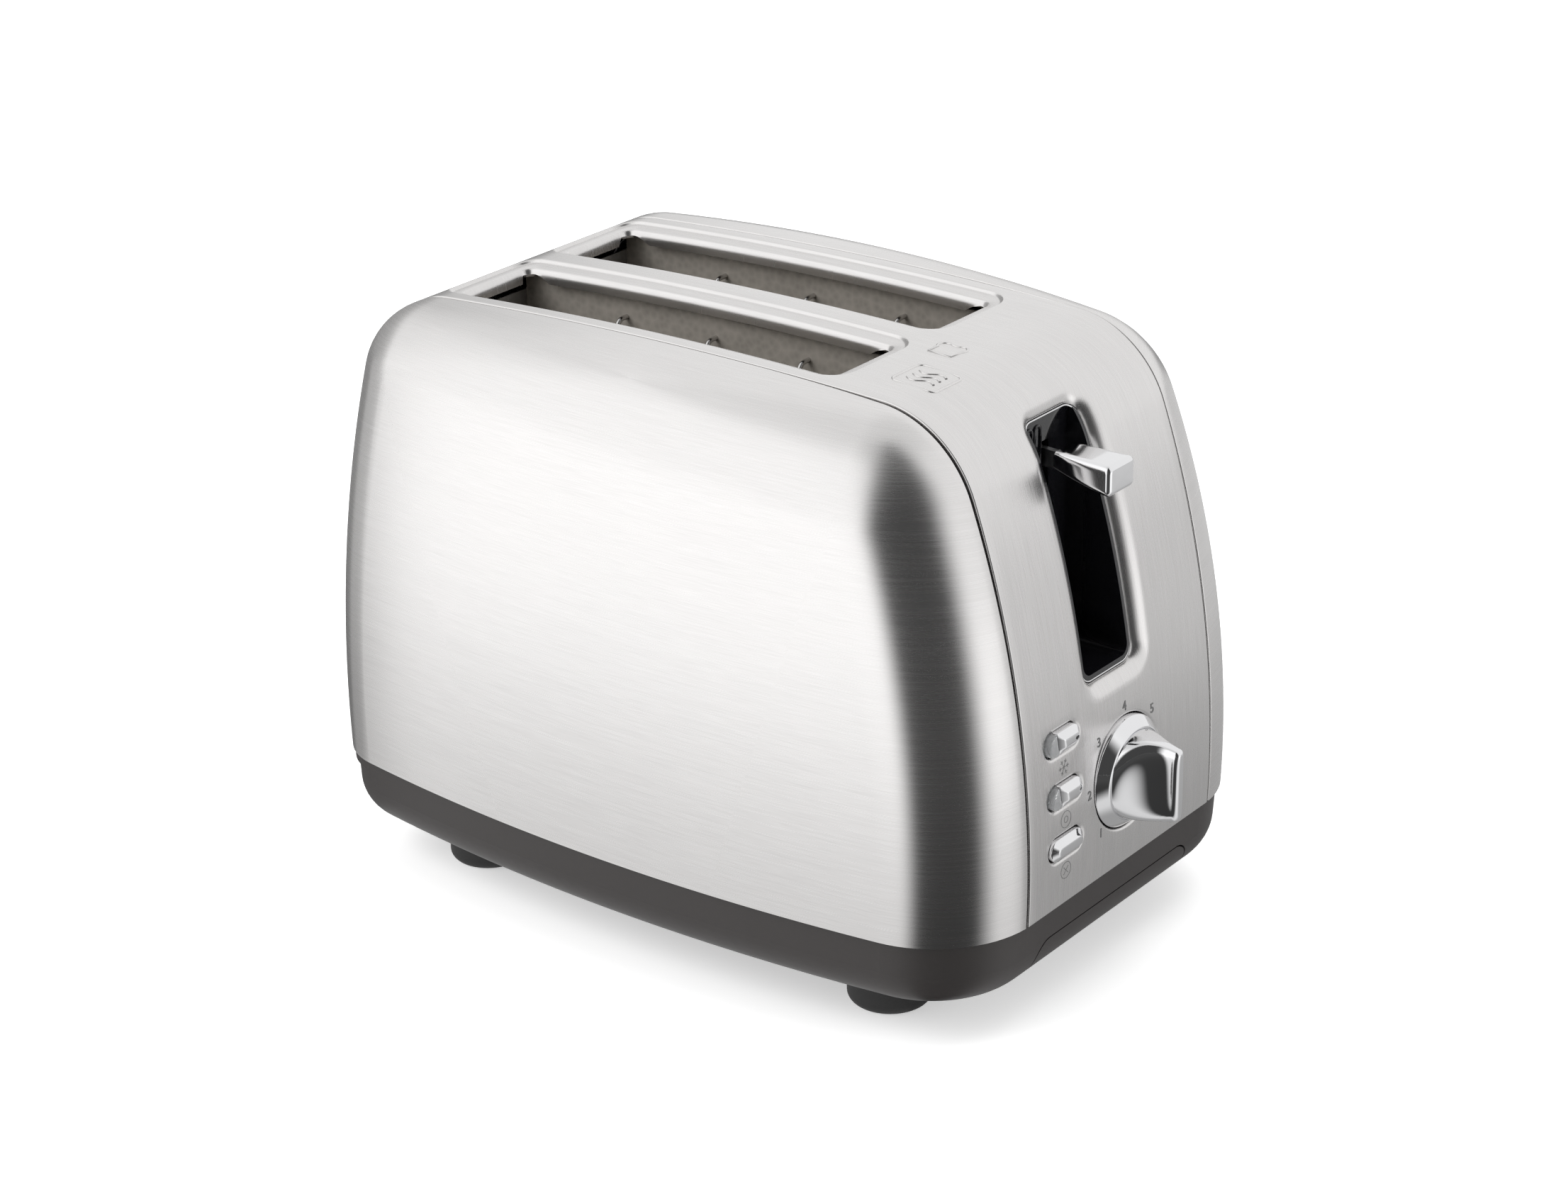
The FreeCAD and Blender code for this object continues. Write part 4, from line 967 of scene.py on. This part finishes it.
def build_button(name, body):
    """A pill with a bevelled front, and the clear lens that takes up one end of two of them."""
    low, high = box_of_button(name)
    lens = name.replace("button", "lens")
    cut = None
    y, z = middle_of(low, high)
    if lens in NODES:
        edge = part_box(lens)[1][1]
        lens_cut = edge - 0.0001
        cut = lens_cut + CUT_GAP
        build_pill(lens, pill_distance(low, high, lens_cut, 1), ((low[1] + edge) / 2, z), low[2],
                   LENS_FRONT, 64, "lens", "housing")
        y = (cut + high[1]) / 2
    build_pill(name, pill_distance(low, high, cut, -1), (y, z), low[2], BUTTON_FRONT, 96, "chrome", body)


# ---------------------------------------------------------------- ridges along lines
def ridge_tree():
    """Geometry Nodes: round ridges along the edges of a line drawing."""
    tree = bpy.data.node_groups.new("ridges", "GeometryNodeTree")
    for name, kind in (("Lines", "Geometry"), ("Radius", "Float"), ("Sides", "Int"), ("Finish", "Material")):
        tree.interface.new_socket(name, in_out="INPUT", socket_type="NodeSocket" + kind)
    tree.interface.new_socket("Ridges", in_out="OUTPUT", socket_type="NodeSocketGeometry")
    source = tree.nodes.new("NodeGroupInput")
    path = tree.nodes.new("GeometryNodeMeshToCurve")
    profile = tree.nodes.new("GeometryNodeCurvePrimitiveCircle")
    sweep = tree.nodes.new("GeometryNodeCurveToMesh")
    sweep.inputs["Fill Caps"].default_value = True
    whole = tree.nodes.new("GeometryNodeRealizeInstances")
    paint = tree.nodes.new("GeometryNodeSetMaterial")
    result = tree.nodes.new("NodeGroupOutput")
    link = tree.links.new
    link(source.outputs["Lines"], path.inputs["Mesh"])
    link(source.outputs["Radius"], profile.inputs["Radius"])
    link(source.outputs["Sides"], profile.inputs["Resolution"])
    link(path.outputs["Curve"], sweep.inputs["Curve"])
    link(profile.outputs["Curve"], sweep.inputs["Profile Curve"])
    link(sweep.outputs["Mesh"], whole.inputs["Geometry"])
    link(whole.outputs["Geometry"], paint.inputs["Geometry"])
    link(source.outputs["Finish"], paint.inputs["Material"])
    link(paint.outputs["Geometry"], result.inputs["Ridges"])
    return tree


def grow(piece, tree, values):
    """Runs a Geometry Nodes tree on a piece and keeps the result as a plain mesh."""
    modifier = piece.modifiers.new("shape", "NODES")
    modifier.node_group = tree
    for socket in tree.interface.items_tree:
        if socket.in_out == "INPUT" and socket.name in values:
            modifier[socket.identifier] = values[socket.name]
    apply_modifiers(piece)


def drawn_lines(name, lines, place, radius, finish, sides=8):
    """Ridges along lines of (a, b) in millimetres, which place maps to points in metres."""
    points = []
    edges = []
    for line in lines:
        start = len(points)
        points += [place(a, b) for a, b in line]
        closed = line[0] == line[-1]
        if closed:
            points.pop()
        last = len(points) - start
        edges += [(start + k, start + k + 1) for k in range(last - 1)]
        if closed:
            edges.append((start + last - 1, start))
    mesh = bpy.data.meshes.new(name)
    mesh.from_pydata([(x + MIDDLE, y, z) for x, y, z in points], edges, [])
    piece = add_object(name, mesh)
    grow(piece, ridge_tree(), {"Radius": radius, "Sides": sides, "Finish": finish_of(finish)})
    settle(piece.data, 60.0)
    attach(piece, "housing")


def arc_line(cx, cy, radius, start, end, steps):
    """Points of an arc between two angles in degrees."""
    turns = [math.radians(start + (end - start) * k / steps) for k in range(steps + 1)]
    return [(cx + radius * math.cos(turn), cy + radius * math.sin(turn)) for turn in turns]


def rounded_square(half, corner):
    line = []
    for a, b, start in ((1, 1, 0), (-1, 1, 90), (-1, -1, 180), (1, -1, 270)):
        line += arc_line(a * (half - corner), b * (half - corner), corner, start, start + 90, 5)
    return line + line[:1]


def build_well_edges():
    """Bright edge of the black well just inside the pressed lip, a satin chrome line that paints the
    highlight on the black trim's border, and two arched ridges on its back wall.
    """
    form = BodyForm()
    lip = next(opening for opening in openings_of(form) if opening.rim is LEVER_LIP)
    depth, inside = 0.0036, 0.0004
    loop = [(s / MM, y / MM) for s, y in lip.loop(LEVER_LIP[-1][0] * MM + inside)]
    # painted highlight: a satin chrome ridge where the black trim's border catches the light
    drawn_lines("well_edge_highlight", [loop + loop[:1]], lambda a, b: form.surface(a * MM, b * MM, depth), 0.00028,
                "satin_chrome")
    low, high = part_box("lever_trim")
    back = low[0] - MIDDLE + 0.0017  # front of the well's back wall
    crown = high[2] / MM - 6.5
    foot, half = crown - 24.0, 1.6
    arches = [[(y - half, foot)] + arc_line(y, crown, half, 180, 0, 12) + [(y + half, foot)]
              for y in (-8.6, -4.2)]
    drawn_lines("well_arches", arches, lambda a, b: (back, a * MM, b * MM), 0.0005,
                "gloss_black")


def build_relief():
    """Pressed marks on the top: three waves in a rounded frame, and a slice of bread."""
    form = BodyForm()
    half_wave, swell, steps, depth = 4.6, 1.1, 20, 0.00018
    waves = [[(half_wave * (2 * k / steps - 1), b + swell * math.sin(2 * math.pi * k / steps))
              for k in range(steps + 1)] for b in (-3.2, 0.0, 3.2)]
    crust = arc_line(-2.6, 2.0, 2.3, 225, 45, 10) + arc_line(2.6, 2.0, 2.3, 135, -45, 10)
    crust += [(4.0, -4.6), (-4.0, -4.6)]
    for name, lines, x, y in (("pressed_waves", [rounded_square(7.6, 2.2)] + waves, 0.0745, -0.0275),
                              ("pressed_slice", [crust + crust[:1]], 0.0665, -0.0050)):
        def place(a, b, at=form.on_top(x), y=y):
            return form.surface(at + a * MM, y + b * MM, depth)

        drawn_lines(name, lines, place, 0.0005, "plain_steel")


def polar(radius, degrees):
    return radius * math.cos(math.radians(degrees)), radius * math.sin(math.radians(degrees))


def sign_lines():
    """Lines of the signs: a snow star, a ring in a ring and a cross in a ring."""
    size, barb_at, barb, hole, cross = 2.6, 1.5, 0.8, 1.0, 1.2
    star = [[polar(size, a), polar(-size, a)] for a in (0, 60, 120)]
    for a in range(0, 360, 60):
        y, z = polar(barb_at, a)
        for turn in (45, -45):
            dy, dz = polar(barb, a + turn)
            star.append([(y + dy, z + dz), (y, z)])
    ring = arc_line(0, 0, size, 0, 360, 28)
    return {"defrost_sign": star,
            "reheat_sign": [ring, arc_line(0, 0, hole, 0, 360, 16)],
            "cancel_sign": [ring, [(-cross, -cross), (cross, cross)], [(-cross, cross), (cross, -cross)]]}


def build_marks():
    """Numbers around the dial and a small sign under each button."""
    form = BodyForm()
    cy, cz = middle_of(*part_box("browning_dial"))
    ring, first, step = 0.0207, 225, 45
    for number in range(1, 8):
        dy, dz = polar(ring, first - step * (number - 1))
        engrave_number(form, str(number), cy + dy, cz + dz)
    below, depth = 0.0083, 0.00006
    for (name, lines), button in zip(sign_lines().items(), BUTTONS):
        side, z = middle_of(*box_of_button(button))
        at = form.on_front(z - below)

        def place(a, b, at=at, side=side):
            return form.surface(at + b * MM, side + a * MM, depth)

        drawn_lines(name, lines, place, 0.00013, "print", sides=6)


def engrave_number(form, text, y, z):
    """One thin number laid on the control end."""
    depth = 0.00004
    curve = bpy.data.curves.new("number_" + text, "FONT")
    curve.body = text
    curve.size = 0.0042
    curve.align_x = "CENTER"
    curve.align_y = "CENTER"
    curve.extrude = 0.00005
    curve.offset = 0.00005
    draft = add_object("draft", curve)
    mesh = bpy.data.meshes.new_from_object(draft.evaluated_get(bpy.context.evaluated_depsgraph_get()))
    bpy.data.objects.remove(draft)
    bpy.data.curves.remove(curve)
    at = form.on_front(z)
    for vertex in mesh.vertices:
        a, b, c = vertex.co
        x, _, height = form.surface(at + b, 0.0, -c - depth)
        vertex.co = (x + MIDDLE, y + a, height)
    settle(mesh, 40.0)
    piece = add_object("number_" + text, mesh)
    mesh.materials.clear()
    mesh.materials.append(finish_of("print"))
    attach(piece, "housing")


# ---------------------------------------------------------------- studio
SOFTBOXES = {  # place, aim, size, power
    "key_light": ((-1.2, -1.6, 1.9), (0.0, 0.0, 0.1), 1.6, 26.0),
    "top_light": ((0.3, 0.5, 2.4), (0.0, 0.0, 0.1), 1.8, 20.0),
    "side_light": ((2.2, 0.6, 1.0), (0.1, 0.0, 0.1), 1.2, 8.0),
}
CAMERA_TARGET = (-0.007233, 0.0, 0.092358)
CAMERA_DISTANCE = 1.104263
CAMERA_AZIMUTH, CAMERA_ELEVATION, CAMERA_ROLL = (math.radians(angle) for angle in (37.628, 23.186, -0.903))
FOCAL_LENGTH, SENSOR_WIDTH = 80.738, 36.0


def build_stage():
    """Floor, world, softboxes and camera."""
    scene = bpy.context.scene
    scene.view_settings.view_transform = "Standard"
    floor_mesh = square_mesh("studio_floor", 9.0, 0.0)
    add_object("studio_floor", floor_mesh)
    t = Tree(bpy.data.materials.new("studio_floor"))
    mottle = t.noise(t.place(), scale=3.0, detail=2.0)
    tint = colours().floor
    floor_mesh.materials.append(t.finish(Base_Color=t.blend(mottle, shade(tint, 0.995), tint), Roughness=0.9,
                                         Specular_IOR_Level=0.0, Emission_Color=grey(1.0),
                                         Emission_Strength=0.46))
    build_world(scene)
    for name, box in SOFTBOXES.items():
        softbox(name, *box)
    floor_sheen()
    camera_data = bpy.data.cameras.new("camera")
    camera_data.sensor_width = SENSOR_WIDTH
    camera_data.lens = FOCAL_LENGTH
    camera = add_object("camera", camera_data)
    sine, cosine = math.sin(CAMERA_AZIMUTH), math.cos(CAMERA_AZIMUTH)
    level = math.cos(CAMERA_ELEVATION)
    back = Vector((sine * level, -cosine * level, math.sin(CAMERA_ELEVATION)))
    right = Vector((cosine, sine, 0))
    up = back.cross(right)
    turned_right = right * math.cos(CAMERA_ROLL) + up * math.sin(CAMERA_ROLL)
    turned_up = up * math.cos(CAMERA_ROLL) - right * math.sin(CAMERA_ROLL)
    pose = Matrix((turned_right, turned_up, back)).transposed().to_4x4()
    pose.translation = Vector(CAMERA_TARGET) + CAMERA_DISTANCE * back
    camera.matrix_world = pose
    scene.camera = camera


def build_world(scene):
    """Room of even light, a little dimmer to one side, overhead, behind and in one unlit quarter."""
    scene.world = bpy.data.worlds.new("studio")
    t = Tree(scene.world)
    x, y, z = t.axes(t.add("ShaderNodeTexCoord", out=0))
    sky = t.blend(y.between(-0.5, 0.35), grey(1.20), grey(0.95))
    sky = t.blend(z.between(0.78, 1.0), sky, grey(0.74))
    behind = (0.19 * y - 0.982 * x).between(0.73, 0.85) * (1 - z.between(0.40, 0.66))
    sky = t.blend(0.6 * behind, sky, grey(0.0))
    sky = t.blend(dark_quarter(y.turn_from(x)), sky, grey(0.06))
    background = t.add("ShaderNodeBackground", {}, {"Color": sky, "Strength": 1.0})
    t.add("ShaderNodeOutputWorld", {}, {"Surface": background})


def dark_quarter(angle):
    """The unlit part of the room: 1 inside it, with soft edges."""
    return angle.between(-1.50, -1.15) * (1 - angle.between(-0.30, 0.17))


def square_mesh(name, reach, level):
    mesh = bpy.data.meshes.new(name)
    mesh.from_pydata([(-reach, -reach, level), (reach, -reach, level), (reach, reach, level),
                      (-reach, reach, level)], [], [(0, 1, 2, 3)])
    return mesh


def floor_sheen():
    """A glowing card on the floor that only shows as a painted reflection: bright far off, dimmer near the
    toaster with painted shade.
    """
    mesh = square_mesh("floor_sheen", 8.0, 0.001)
    t = Tree(bpy.data.materials.new("floor_sheen"))
    x, y, _ = t.axes(t.place())
    angle = (y + 0.06).turn_from(x - 0.09)  # about the foot of the near corner
    far = t.add("ShaderNodeVectorMath", {"operation": "LENGTH"},
                {"Vector": t.scaled(t.place(), (0.8, 1.0, 0.0))}, out=1)
    # painted shade in the reflection: dimmer close to the toaster, darker to one side, behind it and in the
    # unlit quarter
    glow = t.blend(far.between(0.08, 0.50), grey(0.56), grey(1.0))
    glow = t.blend(0.50 * angle.between(0.35, 0.85), glow, grey(0.0))
    rear = (y + 0.08 - 0.62 * (x + 0.106)).between(-0.02, 0.04) * x.below(-0.13)
    glow = t.blend(0.6 * rear, glow, grey(0.0))
    glow = t.blend(0.95 * dark_quarter(angle), glow, grey(0.0))
    mesh.materials.append(t.finish(Base_Color=grey(0.0), Specular_IOR_Level=0.0, Emission_Color=glow,
                                   Emission_Strength=1.32))
    card = add_object("floor_sheen", mesh)
    card.visible_camera = False
    card.visible_diffuse = False
    card.visible_shadow = False
    card.visible_transmission = False


def softbox(name, place, aim, size, power):
    light = bpy.data.lights.new(name, "AREA")
    light.size = size
    light.energy = power
    lamp = add_object(name, light)
    lamp.visible_glossy = False
    lamp.location = place
    lamp.rotation_euler = (Vector(aim) - Vector(place)).to_track_quat("-Z", "Y").to_euler()


# ---------------------------------------------------------------- carried pieces
def finish_carried_nodes():
    """Gives every node of the frame the finish of its material slot."""
    for name, node in NODES.items():
        slot = SLOT_OF[name]
        node.data.materials.clear()
        node.data.materials.append(finish_of(FINISH_OF_SLOT.get(slot, slot)))


# ---------------------------------------------------------------- operators
class TOASTER_OT_carried(bpy.types.Operator):
    """Gives every mechanical piece its finish"""

    bl_idname = "toaster.carried"
    bl_label = "Finish Mechanical Pieces"

    def execute(self, context):
        finish_carried_nodes()
        return {"FINISHED"}


class TOASTER_OT_side_panels(bpy.types.Operator):
    """Builds both brushed side panels"""

    bl_idname = "toaster.side_panels"
    bl_label = "Side Panels"

    def execute(self, context):
        build_side_panel("side_panel_right", 1)
        build_side_panel("side_panel_left", -1)
        return {"FINISHED"}


class TOASTER_OT_centre_band(bpy.types.Operator):
    """Builds the centre band with its pressed openings"""

    bl_idname = "toaster.centre_band"
    bl_label = "Centre Band"

    def execute(self, context):
        build_centre_band()
        return {"FINISHED"}


class TOASTER_OT_card_heads(bpy.types.Operator):
    """Builds the upper ends of the heater cards"""

    bl_idname = "toaster.card_heads"
    bl_label = "Heater Card Heads"

    def execute(self, context):
        build_card_heads()
        return {"FINISHED"}


class TOASTER_OT_controls(bpy.types.Operator):
    """Builds the dial, the lever knob, the buttons and their lenses"""

    bl_idname = "toaster.controls"
    bl_label = "Dial, Lever and Buttons"

    def execute(self, context):
        build_dial()
        build_lever_knob()
        for name, body in BUTTONS.items():
            build_button(name, body)
        return {"FINISHED"}


class TOASTER_OT_marks(bpy.types.Operator):
    """Builds the pressed marks, the dial's numbers and the buttons' signs"""

    bl_idname = "toaster.marks"
    bl_label = "Marks and Numbers"

    def execute(self, context):
        build_relief()
        build_well_edges()
        build_marks()
        return {"FINISHED"}


class TOASTER_OT_stage(bpy.types.Operator):
    """Sets up the floor, the lights and the camera"""

    bl_idname = "toaster.stage"
    bl_label = "Studio"

    def execute(self, context):
        build_stage()
        return {"FINISHED"}


OPERATORS = (TOASTER_OT_carried, TOASTER_OT_side_panels, TOASTER_OT_centre_band, TOASTER_OT_card_heads,
             TOASTER_OT_controls, TOASTER_OT_marks, TOASTER_OT_stage)


class TOASTER_PT_pieces(bpy.types.Panel):
    """The toaster's sizes, colours and pieces"""

    bl_label = "Toaster"
    bl_idname = "TOASTER_PT_pieces"
    bl_space_type = "VIEW_3D"
    bl_region_type = "UI"
    bl_category = "Toaster"

    def draw(self, context):
        column = self.layout.column()
        for group in (context.scene.toaster_steel, context.scene.toaster_colours):
            for key in group.__annotations__:
                column.prop(group, key)
        for operator in OPERATORS:
            column.operator(operator.bl_idname)


CLASSES = (ToasterSteel, ToasterColours, *OPERATORS, TOASTER_PT_pieces)


def register():
    for cls in CLASSES:
        bpy.utils.register_class(cls)
    bpy.types.Scene.toaster_steel = bpy.props.PointerProperty(type=ToasterSteel)
    bpy.types.Scene.toaster_colours = bpy.props.PointerProperty(type=ToasterColours)


def unregister():
    del bpy.types.Scene.toaster_colours
    del bpy.types.Scene.toaster_steel
    for cls in reversed(CLASSES):
        bpy.utils.unregister_class(cls)


def main():
    register()
    for operator in OPERATORS:
        area, name = operator.bl_idname.split(".")
        getattr(getattr(bpy.ops, area), name)()


if __name__ == "__main__":
    main()
